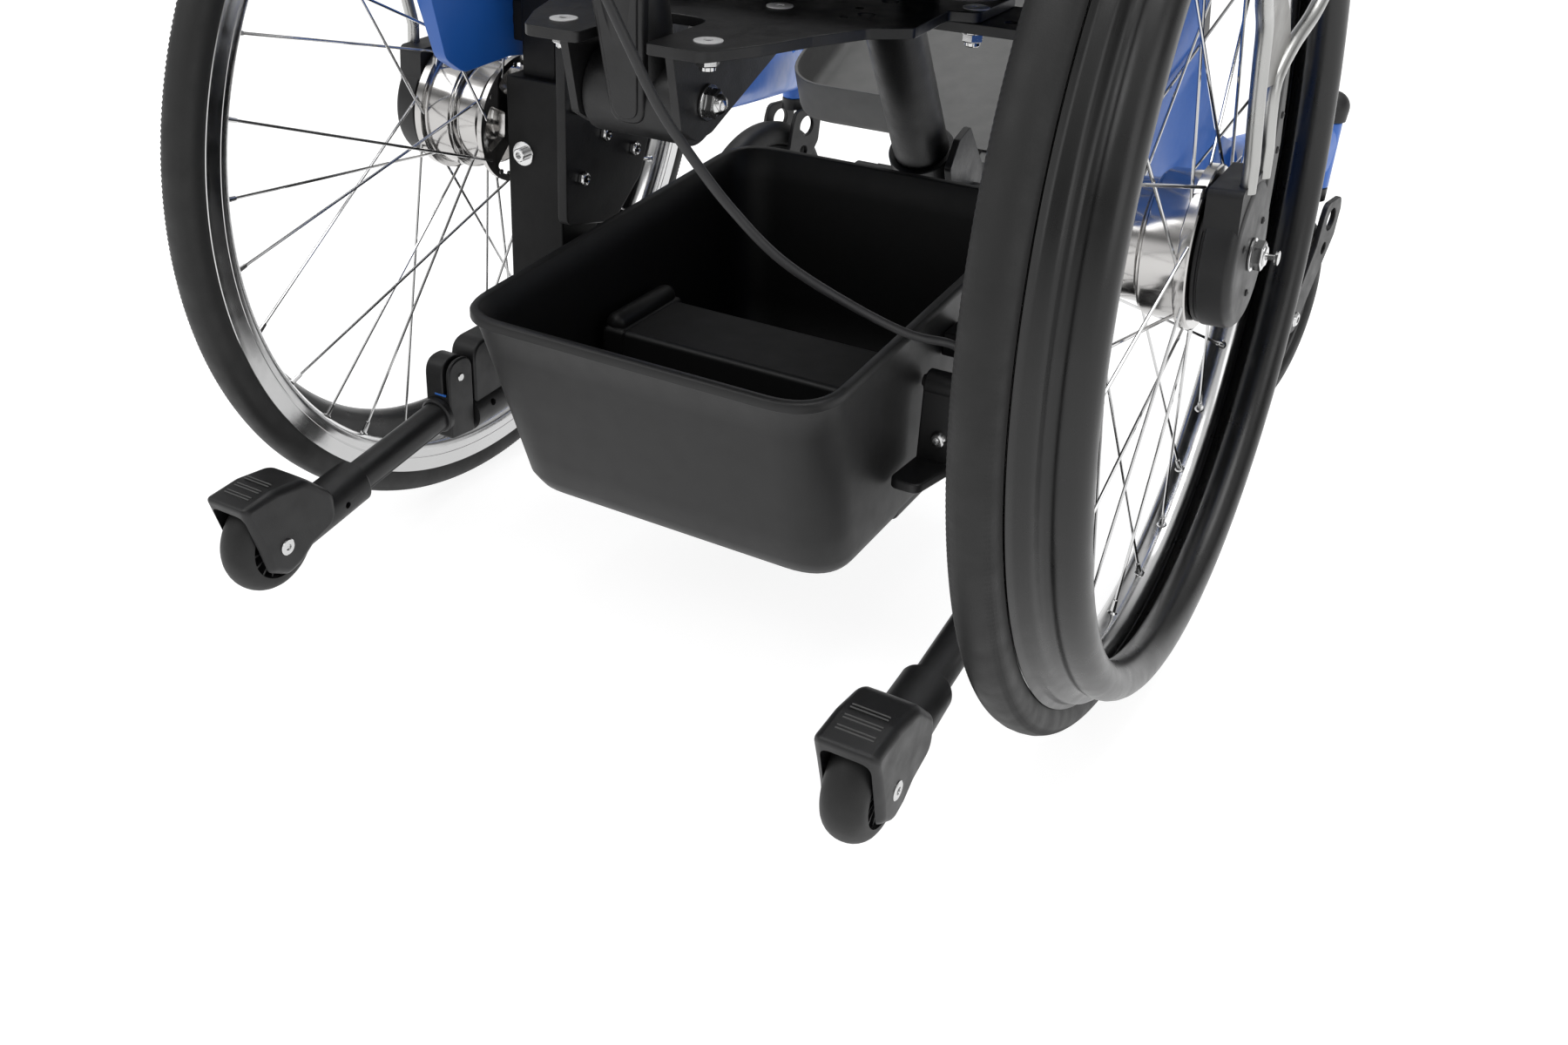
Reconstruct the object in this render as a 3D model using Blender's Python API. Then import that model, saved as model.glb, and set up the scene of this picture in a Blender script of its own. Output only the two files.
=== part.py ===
"""Paediatric manual wheelchair, modelled at real size in metres, +Z up.

The chair faces -Y and its left side is +X. Its pieces are drawn from a point on the floor
under the rear axle, and hang from the empty "chair", which puts the origin under the middle
of the chair's length. Each named object is one solid piece.
"""

import math

import bmesh
import bpy
from mathutils import Matrix, Vector

for old in list(bpy.data.objects):
    bpy.data.objects.remove(old, do_unlink=True)

# Clearance between touching pieces
GAP = 0.0003

# Widths across the frame, from the basket outward
BASKET_HALF_TOP = 0.1265
PEDAL_INNER_X = BASKET_HALF_TOP + 0.0045
PEDAL_OUTER_X = PEDAL_INNER_X + 0.0270
COLUMN_INNER_X = BASKET_HALF_TOP + 0.0355
COLUMN_OUTER_X = COLUMN_INNER_X + 0.0470
SIDE_X = COLUMN_OUTER_X + 0.0005
TIP_X = COLUMN_OUTER_X + 0.0025

# Rear wheels: 24 x 1 inch (25-540)
WHEEL_RADIUS = 0.295
TYRE_WIDTH = 0.025
TYRE_HEIGHT = 0.0192
RIM_WIDTH = 0.023
RIM_DEPTH = 0.021
CAMBER = math.radians(3.0)
TRACK_AT_HUBS = 2 * SIDE_X + 0.077
SPOKES_PER_FLANGE = 16
WHEEL_STEPS = 2 * SPOKES_PER_FLANGE  # each spoke ends at a corner of the faceted rim
SPOKE_RADIUS = 0.0010
SPOKE_CROSS = math.radians(45)
HANDRIM_RADIUS = WHEEL_RADIUS - 0.0420
HANDRIM_TUBE = 0.0118
HANDRIM_OFFSET = 0.0330

# Hub, measured outward from the wheel's middle plane
HUB_INNER_FACE = -0.0335
HUB_FLANGE = 0.005
HUB_FLANGE_RADIUS = 0.046
HUB_CORE_RADIUS = 0.0175
DRUM_RADIUS = 0.043
DRUM_WIDTH = 0.020
OUTER_FLANGE = 0.007
OUTER_FLANGE_RADIUS = 0.0475
AXLE_RADIUS = 0.0060
AXLE_INNER_END = -0.076

# Drive lever on the outer side of the hub
HOUSING_RADIUS = 0.0430
HOUSING_WIDTH = 0.0225
ROD_RADIUS = 0.0043
ROD_PLANE = 0.0475
ROD_PLANE_TOP = 0.058
ROD_REAR = 0.022
ROD_FRONT = -0.012
ROD_SEAT = 0.041
LOOP_TOP = 0.372
LOOP_HALF = 0.128
GRIP_RADIUS = 0.0135
GRIP_LENGTH = 0.085

# Casters
CASTER_X = SIDE_X + 0.0445
CASTER_Y = -0.5080
CASTER_RADIUS = 0.0875
CASTER_WIDTH = 0.026
CASTER_TRAIL = 0.040
FORK_PLATE = 0.0045
FORK_CROWN = 0.006
STEM_RADIUS = 0.0070
STEM_TUBE_RADIUS = 0.0112
STEM_TUBE_LOW = 0.1945
STEM_TUBE_HIGH = 0.2515
COLLAR_RADIUS = 0.0112
KNOB_RADIUS = 0.0140
CASTER_TURN = {1: math.radians(-14), -1: math.radians(-8)}

# Blue side frames
SIDE_THICK = 0.016
SIDE_TOP = 0.480
LEG_HALF_WIDTH = 0.0130
LEG_END_HALF_WIDTH = 0.0108
LEG_HALF_HEIGHT = 0.0235
LEG_REAR_Y = -0.262
LEG_REAR_Z = 0.262
LEG_FRONT_Z = 0.2260

# Black columns that carry the axles
COLUMN_REAR_Y = 0.024
COLUMN_FRONT_Y = -0.020
COLUMN_TOP = 0.330
COLUMN_LOW = 0.1135
NECK_INNER_X = COLUMN_INNER_X + 0.010
NECK_OUTER_X = COLUMN_OUTER_X - 0.009
AXLE_PLATE_THICK = 0.008
BOLT_HEAD_RADIUS = 0.0052
BOLT_HEAD = 0.0045

# Seat plate and the bar under it
PLATE_TOP = 0.415
PLATE_THICK = 0.006
CROSS_BAR_THICK = 0.006
CROSS_BAR_REAR_Y = 0.030
CROSS_BAR_FRONT_Y = -0.032
NOTCH_HALF = 0.021
NOTCH_FRONT_Y = 0.132
WING_HALF = 0.0555
WING_REAR_Y = 0.203

# Back pivot and post
PIVOT_Y = 0.162
PIVOT_Z = 0.378
PIVOT_RADIUS = 0.0245
PIVOT_HALF = 0.030
GUSSET_THICK = 0.005
PIVOT_BOLT_RADIUS = 0.005
POST_RADIUS = 0.0190
POST_LENGTH = 0.455
POST_LEAN = math.radians(15)
POST_SHIFT = 0.005
NUT_RADIUS = 0.0080

# Inclined tube from the seat plate to the front cross tube
LIFT_RADIUS = 0.0215
LIFT_TOP_Y = -0.1265
LIFT_LOW_Y = -0.2525
LIFT_LOW_Z = 0.2250
CROSS_TUBE_RADIUS = 0.015
CROSS_TUBE_Y = -0.2640
CROSS_TUBE_Z = 0.2060
CROSS_TUBE_HALF = 0.068

# Basket
BASKET_HALF_LOW = BASKET_HALF_TOP - 0.0085
BASKET_REAR_TOP = 0.188
BASKET_REAR_LOW = 0.152
BASKET_FRONT_TOP = -0.172
BASKET_FRONT_LOW = -0.155
BASKET_TOP = 0.228
BASKET_LOW_SHIFT = -0.009
BASKET_SLOPE = 0.058
BASKET_LOW = 0.092
BASKET_WALL = 0.0035
BASKET_CORNER = 0.034
BASKET_SHELF_TOP = 0.178
BASKET_SHELF_X = 0.088
BASKET_SHELF_REAR_Y = 0.060
BASKET_SHELF_FRONT_Y = -0.010

# Anti-tip arms
TIP_PIVOT_Y = 0.0995
TIP_PIVOT_Z = 0.1285
KNUCKLE_HALF = 0.0112
TIP_SLOPE = math.radians(8.0)
TIP_TUBE_RADIUS = 0.0105
TIP_WHEEL_RADIUS = 0.0345
TIP_WHEEL_WIDTH = 0.026
TIP_WHEEL_Y = 0.2850
TIP_WHEEL_Z = 0.0820
TIP_WHEEL_SHIFT = 0.0015
HOOD_HALF = 0.0185

# Tray for the feet
TRAY_LEFT = 0.2095
TRAY_RIGHT = -0.1250
TRAY_REAR_Y = -0.4150
TRAY_DEPTH = 0.240
TRAY_LOW = 0.2000
TRAY_WALL = 0.046
TRAY_SHEET = 0.003
TRAY_CORNER = 0.045
TRAY_TILT = math.radians(24)
HANGER_RAILS = (-0.0215, 0.050)

# Seat and back pads
SEAT_HALF = 0.165
SEAT_FRONT_Y = -0.270
SEAT_REAR_Y = 0.100
SEAT_SHELL_LOW = 0.434
SEAT_SHELL_THICK = 0.008
CUSHION_HEIGHT = 0.055
BACK_HALF = 0.160
BACK_LOW = 0.120
BACK_HIGH = 0.440
BACK_SHELL_THICK = 0.006
BACK_PAD = 0.040
PUSH_BAR_RADIUS = 0.011
PUSH_HALF = 0.150

# Foot pedal on the right column
PEDAL_PIVOT_Y = 0.0400
PEDAL_PIVOT_Z = 0.1900

# Brake cable
CABLE_RADIUS = 0.0027

# How far the chair is moved so that the middle of its length is over the origin
CHAIR_SHIFT_Y = 0.084

HUB_X = TRACK_AT_HUBS / 2

PAINT = {
    "black_powder": ((0.020, 0.020, 0.021), 0.42, 0.1),
    "black_plastic": ((0.022, 0.022, 0.023), 0.50, 0.0),
    "basket_plastic": ((0.018, 0.018, 0.019), 0.55, 0.0),
    "tyre_rubber": ((0.025, 0.025, 0.026), 0.75, 0.0),
    "rim_metal": ((0.70, 0.70, 0.71), 0.22, 1.0),
    "chrome": ((0.80, 0.80, 0.81), 0.10, 1.0),
    "rod_metal": ((0.66, 0.67, 0.65), 0.28, 1.0),
    "blue_paint": ((0.016, 0.070, 0.290), 0.38, 0.0),
    "tray_plastic": ((0.080, 0.080, 0.078), 0.60, 0.0),
    "cable_sleeve": ((0.030, 0.030, 0.032), 0.55, 0.0),
    "fabric": ((0.020, 0.020, 0.022), 0.90, 0.0),
    "grip_rubber": ((0.015, 0.015, 0.015), 0.80, 0.0),
}


def paint(name):
    found = bpy.data.materials.get(name)
    if found:
        return found
    colour, roughness, metallic = PAINT[name]
    made = bpy.data.materials.new(name)
    made.use_nodes = True
    shader = made.node_tree.nodes["Principled BSDF"]
    shader.inputs["Base Color"].default_value = (*colour, 1)
    shader.inputs["Roughness"].default_value = roughness
    shader.inputs["Metallic"].default_value = metallic
    made.diffuse_color = (*colour, 1)
    return made


def face_out(shape):
    bmesh.ops.recalc_face_normals(shape, faces=shape.faces)
    if shape.calc_volume(signed=True) < 0:
        bmesh.ops.reverse_faces(shape, faces=shape.faces)


def place(name, shape, look, origin=(0, 0, 0), parent=None, angle=35):
    """Makes the object of one sub-part, with its origin at a point of its parent or of the chair."""
    shape.transform(Matrix.Translation(-Vector(origin)))
    face_out(shape)
    mesh = bpy.data.meshes.new(name)
    shape.to_mesh(mesh)
    shape.free()
    mesh.materials.append(paint(look))
    mesh.shade_smooth()
    mesh.set_sharp_from_angle(angle=math.radians(angle))
    obj = bpy.data.objects.new(name, mesh)
    obj.location = origin
    obj.parent = parent or chair
    bpy.context.scene.collection.objects.link(obj)
    return obj


def empty(name, location, turn=(0, 0, 0), parent=None):
    obj = bpy.data.objects.new(name, None)
    obj.location = location
    obj.parent = parent
    obj.rotation_euler = turn
    obj.empty_display_size = 0.03
    bpy.context.scene.collection.objects.link(obj)
    return obj


chair = empty("chair", (0, CHAIR_SHIFT_Y, 0))


def box(x, y, z, bevel=0.0, steps=1):
    """A box between two values on each axis, with its edges bevelled."""
    shape = bmesh.new()
    bmesh.ops.create_cube(shape, size=1)
    size = Vector((x[1] - x[0], y[1] - y[0], z[1] - z[0]))
    middle = Vector((x[0] + x[1], y[0] + y[1], z[0] + z[1])) / 2
    shape.transform(Matrix.Translation(middle) @ Matrix.Diagonal((*size, 1)))
    if bevel:
        bmesh.ops.bevel(
            shape, geom=shape.edges[:], offset=bevel, segments=steps,
            profile=0.5, affect="EDGES",
        )
    return shape


def rod(start, end, radius, sides=20, end_radius=None, turn=0.0):
    """A cylinder or cone between two points."""
    start, end = Vector(start), Vector(end)
    axis = end - start
    shape = bmesh.new()
    bmesh.ops.create_cone(
        shape, cap_ends=True, segments=sides, radius1=radius,
        radius2=radius if end_radius is None else end_radius, depth=axis.length,
    )
    shape.transform(Matrix.Rotation(turn, 4, "Z"))
    shape.transform(
        Matrix.Translation((start + end) / 2)
        @ axis.to_track_quat("Z", "Y").to_matrix().to_4x4()
    )
    return shape


def extrude(outline, axis, low, high, bevel=0.0, steps=1):
    """A flat outline of 2-D points, extruded along X, Y or Z."""
    spots = {
        "X": lambda a, b, d: (d, a, b),
        "Y": lambda a, b, d: (a, d, b),
        "Z": lambda a, b, d: (a, b, d),
    }[axis]
    shape = bmesh.new()
    face = shape.faces.new([shape.verts.new(spots(a, b, low)) for a, b in outline])
    out = bmesh.ops.extrude_face_region(shape, geom=[face])
    moved = [v for v in out["geom"] if isinstance(v, bmesh.types.BMVert)]
    shift = Vector(spots(0, 0, high)) - Vector(spots(0, 0, low))
    bmesh.ops.translate(shape, verts=moved, vec=Vector([abs(c) for c in shift]))
    bmesh.ops.recalc_face_normals(shape, faces=shape.faces)
    if bevel:
        index = "XYZ".index(axis)
        ends = [
            e for e in shape.edges
            if abs(e.verts[0].co[index] - e.verts[1].co[index]) < 1e-7
        ]
        bmesh.ops.bevel(
            shape, geom=ends, offset=bevel, segments=steps, profile=0.5, affect="EDGES"
        )
    return shape


def turned(profile, steps=WHEEL_STEPS, start=0.0):
    """A closed profile of (along X, radius) points, turned about the X axis."""
    shape = bmesh.new()
    ring = [shape.verts.new((x, 0, -r)) for x, r in profile]
    edges = [shape.edges.new((ring[i - 1], ring[i])) for i in range(len(ring))]
    bmesh.ops.rotate(shape, verts=ring, matrix=Matrix.Rotation(start, 3, "X"))
    bmesh.ops.spin(
        shape, geom=ring + edges, axis=(1, 0, 0), angle=math.tau, steps=steps,
        use_merge=True, use_duplicate=False,
    )
    bmesh.ops.remove_doubles(shape, verts=shape.verts, dist=1e-6)
    bmesh.ops.recalc_face_normals(shape, faces=shape.faces)
    return shape


def smooth_route(points, step):
    """Points about one step apart on a smooth curve through the given points."""
    points = [Vector(p) for p in points]
    ends = [2 * points[0] - points[1]] + points + [2 * points[-1] - points[-2]]
    route = []
    for a, b, c, d in zip(ends, ends[1:], ends[2:], ends[3:]):
        count = max(1, round((c - b).length / step))
        for i in range(count):
            t = i / count
            route.append(
                0.5 * (2 * b + (c - a) * t + (2 * a - 5 * b + 4 * c - d) * t * t
                       + (3 * b - a - 3 * c + d) * t * t * t)
            )
    return route + [points[-1]]


def tube(points, radius, resolution=2, loose=None):
    """A bevelled curve through points with filled caps. It is a mesh, or a named object if loose is set."""
    curve = bpy.data.curves.new("route", "CURVE")
    curve.dimensions = "3D"
    curve.bevel_depth = radius
    curve.bevel_resolution = resolution
    curve.use_fill_caps = True
    line = curve.splines.new("POLY")
    line.points.add(len(points) - 1)
    for spot, point in zip(line.points, points):
        spot.co = (*point, 1)
    obj = bpy.data.objects.new(loose or "route", curve)
    bpy.context.scene.collection.objects.link(obj)
    if loose:
        return obj
    bpy.context.view_layer.update()
    graph = bpy.context.evaluated_depsgraph_get()
    mesh = bpy.data.meshes.new_from_object(obj.evaluated_get(graph), depsgraph=graph)
    shape = bmesh.new()
    shape.from_mesh(mesh)
    bmesh.ops.remove_doubles(shape, verts=shape.verts, dist=1e-6)
    bmesh.ops.recalc_face_normals(shape, faces=shape.faces)
    bpy.data.meshes.remove(mesh)
    bpy.data.objects.remove(obj)
    bpy.data.curves.remove(curve)
    return shape


def oval_tube(points, half_width, end_half_width, half_height, sides=12):
    """A closed oval bar along a route that runs mostly along Y, getting narrower to its end."""
    shape = bmesh.new()
    rings = []
    for i, point in enumerate(points):
        way = points[min(i + 1, len(points) - 1)] - points[max(i - 1, 0)]
        across = Vector((-way.y, way.x, 0)).normalized()
        upward = across.cross(way).normalized()
        if upward.z < 0:
            upward.negate()
        ring = []
        wide = half_width + (end_half_width - half_width) * i / (len(points) - 1)
        for k in range(sides):
            angle = k * math.tau / sides
            grow = (abs(math.cos(angle)) ** 3 + abs(math.sin(angle)) ** 3) ** (-1 / 3)
            ring.append(shape.verts.new(
                point + across * wide * grow * math.cos(angle)
                + upward * half_height * grow * math.sin(angle)
            ))
        rings.append(ring)
    for low, high in zip(rings, rings[1:]):
        for k in range(sides):
            n = (k + 1) % sides
            shape.faces.new((low[k], low[n], high[n], high[k]))
    shape.faces.new(rings[0][::-1])
    shape.faces.new(rings[-1])
    bmesh.ops.recalc_face_normals(shape, faces=shape.faces)
    return shape


def combine(base, others, operation):
    """Joins (UNION) or cuts (DIFFERENCE) the base with each of the other shapes."""
    objects = []
    for shape in [base, *others]:
        face_out(shape)
        mesh = bpy.data.meshes.new("step")
        shape.to_mesh(mesh)
        shape.free()
        obj = bpy.data.objects.new("step", mesh)
        bpy.context.scene.collection.objects.link(obj)
        objects.append(obj)
    for other in objects[1:]:
        change = objects[0].modifiers.new("step", "BOOLEAN")
        change.operation = operation
        change.solver = "EXACT"
        change.object = other
    bpy.context.view_layer.update()
    graph = bpy.context.evaluated_depsgraph_get()
    mesh = bpy.data.meshes.new_from_object(
        objects[0].evaluated_get(graph), depsgraph=graph
    )
    made = bmesh.new()
    made.from_mesh(mesh)
    bpy.data.meshes.remove(mesh)
    for obj in objects:
        data = obj.data
        bpy.data.objects.remove(obj)
        bpy.data.meshes.remove(data)
    return made


def join(base, *others):
    return combine(base, others, "UNION")


def cut(base, *others):
    return combine(base, others, "DIFFERENCE")


def gathered(shapes):
    """Several shapes that don't touch, in one bmesh."""
    made = bmesh.new()
    for shape in shapes:
        mesh = bpy.data.meshes.new("step")
        shape.to_mesh(mesh)
        shape.free()
        made.from_mesh(mesh)
        bpy.data.meshes.remove(mesh)
    return made


def for_side(shape, side):
    """The shape as built for the left side, or its mirror image for the right side."""
    if side < 0:
        shape.transform(Matrix.Scale(-1, 4, (1, 0, 0)))
        bmesh.ops.reverse_faces(shape, faces=shape.faces)
    return shape


def moved(shape, shift):
    shape.transform(Matrix.Translation(shift))
    return shape


def tilted(shape, angle, about):
    """Turned about an X axis through a point; a positive angle lifts the +Y side."""
    shape.transform(
        Matrix.Translation(about) @ Matrix.Rotation(angle, 4, "X")
        @ Matrix.Translation(-Vector(about))
    )
    return shape


def rounded(outline, radius, steps=4):
    """A closed outline with its corners rounded. A radius may be one value or one per corner."""
    made = []
    count = len(outline)
    for i, corner in enumerate(outline):
        size = radius[i] if isinstance(radius, (list, tuple)) else radius
        here = Vector(corner)
        before = Vector(outline[i - 1]) - here
        after = Vector(outline[(i + 1) % count]) - here
        half = before.angle(after) / 2
        back = min(size / math.tan(half), 0.49 * before.length, 0.49 * after.length)
        if size <= 0 or back < 1e-6:
            made.append(tuple(here))
            continue
        start = here + before.normalized() * back
        end = here + after.normalized() * back
        for k in range(steps + 1):
            t = k / steps
            made.append(tuple((1 - t) ** 2 * start + 2 * t * (1 - t) * here + t * t * end))
    return made


def hexagon(centre, radius, axis, low, high, turn=0.0):
    points = [
        (centre[0] + radius * math.cos(turn + k * math.tau / 6),
         centre[1] + radius * math.sin(turn + k * math.tau / 6))
        for k in range(6)
    ]
    return extrude(points, axis, low, high)


# Rear wheels
tyre_profile = [(0.0, WHEEL_RADIUS)]
bead = WHEEL_RADIUS - TYRE_HEIGHT
for share, drop in ((0.62, 0.0026), (1.0, 0.0110)):
    tyre_profile.append((share * TYRE_WIDTH / 2, WHEEL_RADIUS - drop))
tyre_profile.append((RIM_WIDTH / 2 - 0.001, bead))
tyre_profile += [(-x, r) for x, r in reversed(tyre_profile[1:])]
HUB_Z = max(r * math.cos(CAMBER) + x * math.sin(CAMBER) for x, r in tyre_profile)

rim_top = bead - GAP
rim_profile = [
    (RIM_WIDTH / 2, rim_top),
    (RIM_WIDTH / 2, rim_top - 0.55 * RIM_DEPTH),
    (RIM_WIDTH * 0.37, rim_top - 0.86 * RIM_DEPTH),
    (0.0, rim_top - RIM_DEPTH),
]
rim_profile += [(-x, r) for x, r in reversed(rim_profile[:3])]

# The handrim is a tube with a wide curved web that reaches the rim.
web_start = RIM_WIDTH / 2 + GAP
web_top = rim_top - 0.002
handrim_profile = [
    (web_start, web_top),
    (web_start + 0.0080, web_top - 0.0024),
    (web_start + 0.0150, web_top - 0.0100),
]
for degrees in (95, 30, -30, -95):
    handrim_profile.append((
        HANDRIM_OFFSET + HANDRIM_TUBE * math.cos(math.radians(degrees)),
        HANDRIM_RADIUS + HANDRIM_TUBE * math.sin(math.radians(degrees)),
    ))
handrim_profile += [
    (web_start, web_top - 0.0040),
]

flange_in = HUB_INNER_FACE + HUB_FLANGE
drum_out = DRUM_WIDTH
flange_out = DRUM_WIDTH + OUTER_FLANGE
bore = AXLE_RADIUS + GAP
hub_profile = [
    (HUB_INNER_FACE, bore), (HUB_INNER_FACE, HUB_FLANGE_RADIUS),
    (flange_in, HUB_FLANGE_RADIUS), (flange_in, HUB_CORE_RADIUS),
    (0.0, HUB_CORE_RADIUS), (0.0, DRUM_RADIUS), (drum_out, DRUM_RADIUS),
    (drum_out, OUTER_FLANGE_RADIUS), (flange_out, OUTER_FLANGE_RADIUS),
    (flange_out, bore),
]
spoke_end = rim_top - RIM_DEPTH - GAP - 0.0003


def spoke(plane, flange_radius, angle, cross, lean):
    start_r = flange_radius - 0.0045
    start = Vector((plane + lean, start_r * math.cos(angle + cross), start_r * math.sin(angle + cross)))
    end = Vector((lean, spoke_end * math.cos(angle), spoke_end * math.sin(angle)))
    return rod(start, end, SPOKE_RADIUS * 1.1, sides=3)


def hub_with_spokes():
    hub = turned(hub_profile, 18)
    holes = []
    for k in range(5):
        angle = k * math.tau / 5
        y, z = 0.0312 * math.cos(angle), 0.0312 * math.sin(angle)
        holes.append(rod((HUB_INNER_FACE - 0.01, y, z), (flange_in + 0.01, y, z), 0.0108, 6))
    hub = cut(hub, gathered(holes))
    spokes = []
    for k in range(SPOKES_PER_FLANGE):
        sign = 1 if k % 2 else -1
        step = math.tau / SPOKES_PER_FLANGE
        spokes.append(spoke(drum_out + OUTER_FLANGE / 2, OUTER_FLANGE_RADIUS,
                            k * step, sign * SPOKE_CROSS, sign * 0.00125))
        spokes.append(spoke(HUB_INNER_FACE + HUB_FLANGE / 2, HUB_FLANGE_RADIUS,
                            (k + 0.5) * step, sign * SPOKE_CROSS, sign * 0.00125))
    return join(hub, gathered(spokes))


housing_in = flange_out + 0.0005
housing_out = housing_in + HOUSING_WIDTH
block_half = 0.012


def lever_housing():
    body = turned([
        (housing_in, bore), (housing_in, HOUSING_RADIUS - 0.002),
        (housing_in + 0.0025, HOUSING_RADIUS), (housing_out - 0.0035, HOUSING_RADIUS),
        (housing_out, HOUSING_RADIUS - 0.0045), (housing_out, bore),
    ], 20)
    block = box(
        (housing_in + 0.002, housing_out - 0.001),
        (ROD_FRONT - block_half, ROD_REAR + block_half),
        (0.020, ROD_SEAT + 0.014),
    )
    tongue = extrude(
        rounded([(-0.016, 0.0), (-0.024, 0.055), (-0.024, 0.0985), (-0.032, 0.1025),
                 (-0.040, 0.055), (-0.036, 0.0)], 0.003, 1),
        "X", housing_out - 0.0045, housing_out - 0.0005,
    )
    body = join(body, block, tongue)
    sockets = [
        rod((ROD_PLANE, y, ROD_SEAT - GAP), (ROD_PLANE, y, 0.1), ROD_RADIUS + GAP, 12)
        for y in (ROD_REAR, ROD_FRONT)
    ]
    return cut(body, gathered(sockets))


def loop_route():
    """The bent silver rod: up from its rear socket, round the top and down to its front socket."""
    shift = ROD_PLANE_TOP - ROD_PLANE
    rear = [
        (ROD_PLANE, ROD_REAR, ROD_SEAT), (ROD_PLANE, ROD_REAR, ROD_SEAT + 0.016),
        (ROD_PLANE, ROD_REAR + 0.008, 0.082),
        (ROD_PLANE, ROD_REAR + 0.015, 0.111), (ROD_PLANE + 0.1 * shift, ROD_REAR + 0.025, 0.133),
        (ROD_PLANE + 0.35 * shift, ROD_REAR + 0.050, 0.152),
        (ROD_PLANE + 0.8 * shift, LOOP_HALF - 0.025, 0.182),
        (ROD_PLANE_TOP, LOOP_HALF, 0.235), (ROD_PLANE_TOP, LOOP_HALF - 0.012, 0.300),
        (ROD_PLANE_TOP, LOOP_HALF - 0.048, LOOP_TOP - 0.022),
        (ROD_PLANE_TOP, GRIP_LENGTH / 2 + 0.016, LOOP_TOP - 0.0035),
        (ROD_PLANE_TOP, GRIP_LENGTH / 2 + 0.002, LOOP_TOP),
    ]
    front = [
        (ROD_PLANE, ROD_FRONT, ROD_SEAT), (ROD_PLANE, ROD_FRONT, ROD_SEAT + 0.016),
        (ROD_PLANE, ROD_FRONT + 0.007, 0.077),
        (ROD_PLANE, ROD_FRONT + 0.006, 0.096), (ROD_PLANE + 0.15 * shift, ROD_FRONT - 0.018, 0.110),
        (ROD_PLANE + 0.4 * shift, ROD_FRONT - 0.060, 0.124),
        (ROD_PLANE + 0.85 * shift, -LOOP_HALF + 0.022, 0.158),
        (ROD_PLANE_TOP, -LOOP_HALF, 0.220), (ROD_PLANE_TOP, -LOOP_HALF + 0.012, 0.300),
        (ROD_PLANE_TOP, -LOOP_HALF + 0.048, LOOP_TOP - 0.022),
        (ROD_PLANE_TOP, -GRIP_LENGTH / 2 - 0.016, LOOP_TOP - 0.0035),
        (ROD_PLANE_TOP, -GRIP_LENGTH / 2 - 0.002, LOOP_TOP),
    ]
    return rear[:1] + smooth_route(rear[1:], 0.032) + smooth_route(front[1:], 0.032)[::-1] + front[:1]


def axle_pin():
    """The quick-release axle, its outer nut and washer, drilled for the release button."""
    pin = rod((AXLE_INNER_END, 0, 0), (housing_out + 0.0085, 0, 0), AXLE_RADIUS, 12)
    nut = hexagon((0, 0), NUT_RADIUS, "X", housing_out + GAP + 0.0015, housing_out + 0.0075, 0.3)
    washer = rod((housing_out + GAP, 0, 0), (housing_out + GAP + 0.0017, 0, 0), 0.0095, 16)
    pin = join(pin, nut, washer)
    return cut(pin, rod((housing_out - 0.012, 0, 0), (housing_out + 0.02, 0, 0), 0.0018 + GAP, 8))


def axle_button():
    stem = rod((housing_out - 0.008, 0, 0), (housing_out + 0.0145, 0, 0), 0.0018, 8)
    return join(stem, rod((housing_out + 0.0130, 0, 0), (housing_out + 0.0153, 0, 0), 0.0042, 12))


for side, word in ((1, "left"), (-1, "right")):
    axis = empty(f"rear_axle_{word}", (side * HUB_X, 0, HUB_Z), (0, -side * CAMBER, 0), chair)
    place(f"rear_tyre_{word}", for_side(turned(tyre_profile), side), "tyre_rubber", parent=axis)
    place(f"rear_rim_{word}", for_side(turned(rim_profile), side), "rim_metal", parent=axis, angle=20)
    place(f"handrim_{word}", for_side(turned(handrim_profile), side), "grip_rubber", parent=axis, angle=60)
    place(f"hub_and_spokes_{word}", for_side(hub_with_spokes(), side), "chrome", parent=axis)
    place(f"lever_housing_{word}", for_side(lever_housing(), side), "black_plastic", parent=axis)
    place(f"lever_loop_{word}", for_side(tube(loop_route(), ROD_RADIUS, 1), side), "rod_metal",
          parent=axis, angle=60)
    grip = turned([
        (-GRIP_LENGTH / 2, ROD_RADIUS + GAP), (-GRIP_LENGTH / 2, GRIP_RADIUS - 0.003),
        (-GRIP_LENGTH / 2 + 0.004, GRIP_RADIUS), (GRIP_LENGTH / 2 - 0.004, GRIP_RADIUS),
        (GRIP_LENGTH / 2, GRIP_RADIUS - 0.003), (GRIP_LENGTH / 2, ROD_RADIUS + GAP),
    ], 14)
    grip.transform(Matrix.Translation((ROD_PLANE_TOP, 0, LOOP_TOP)) @ Matrix.Rotation(math.pi / 2, 4, "Z"))
    place(f"lever_grip_{word}", for_side(grip, side), "grip_rubber", parent=axis)
    place(f"axle_pin_{word}", for_side(axle_pin(), side), "chrome", parent=axis)
    place(f"axle_button_{word}", for_side(axle_button(), side), "chrome", parent=axis)

# Casters
wheel_y = CASTER_Y + CASTER_TRAIL
fork_half = CASTER_WIDTH / 2 + 0.0030
crown_low = STEM_TUBE_LOW - 0.0085 - FORK_CROWN


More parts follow.
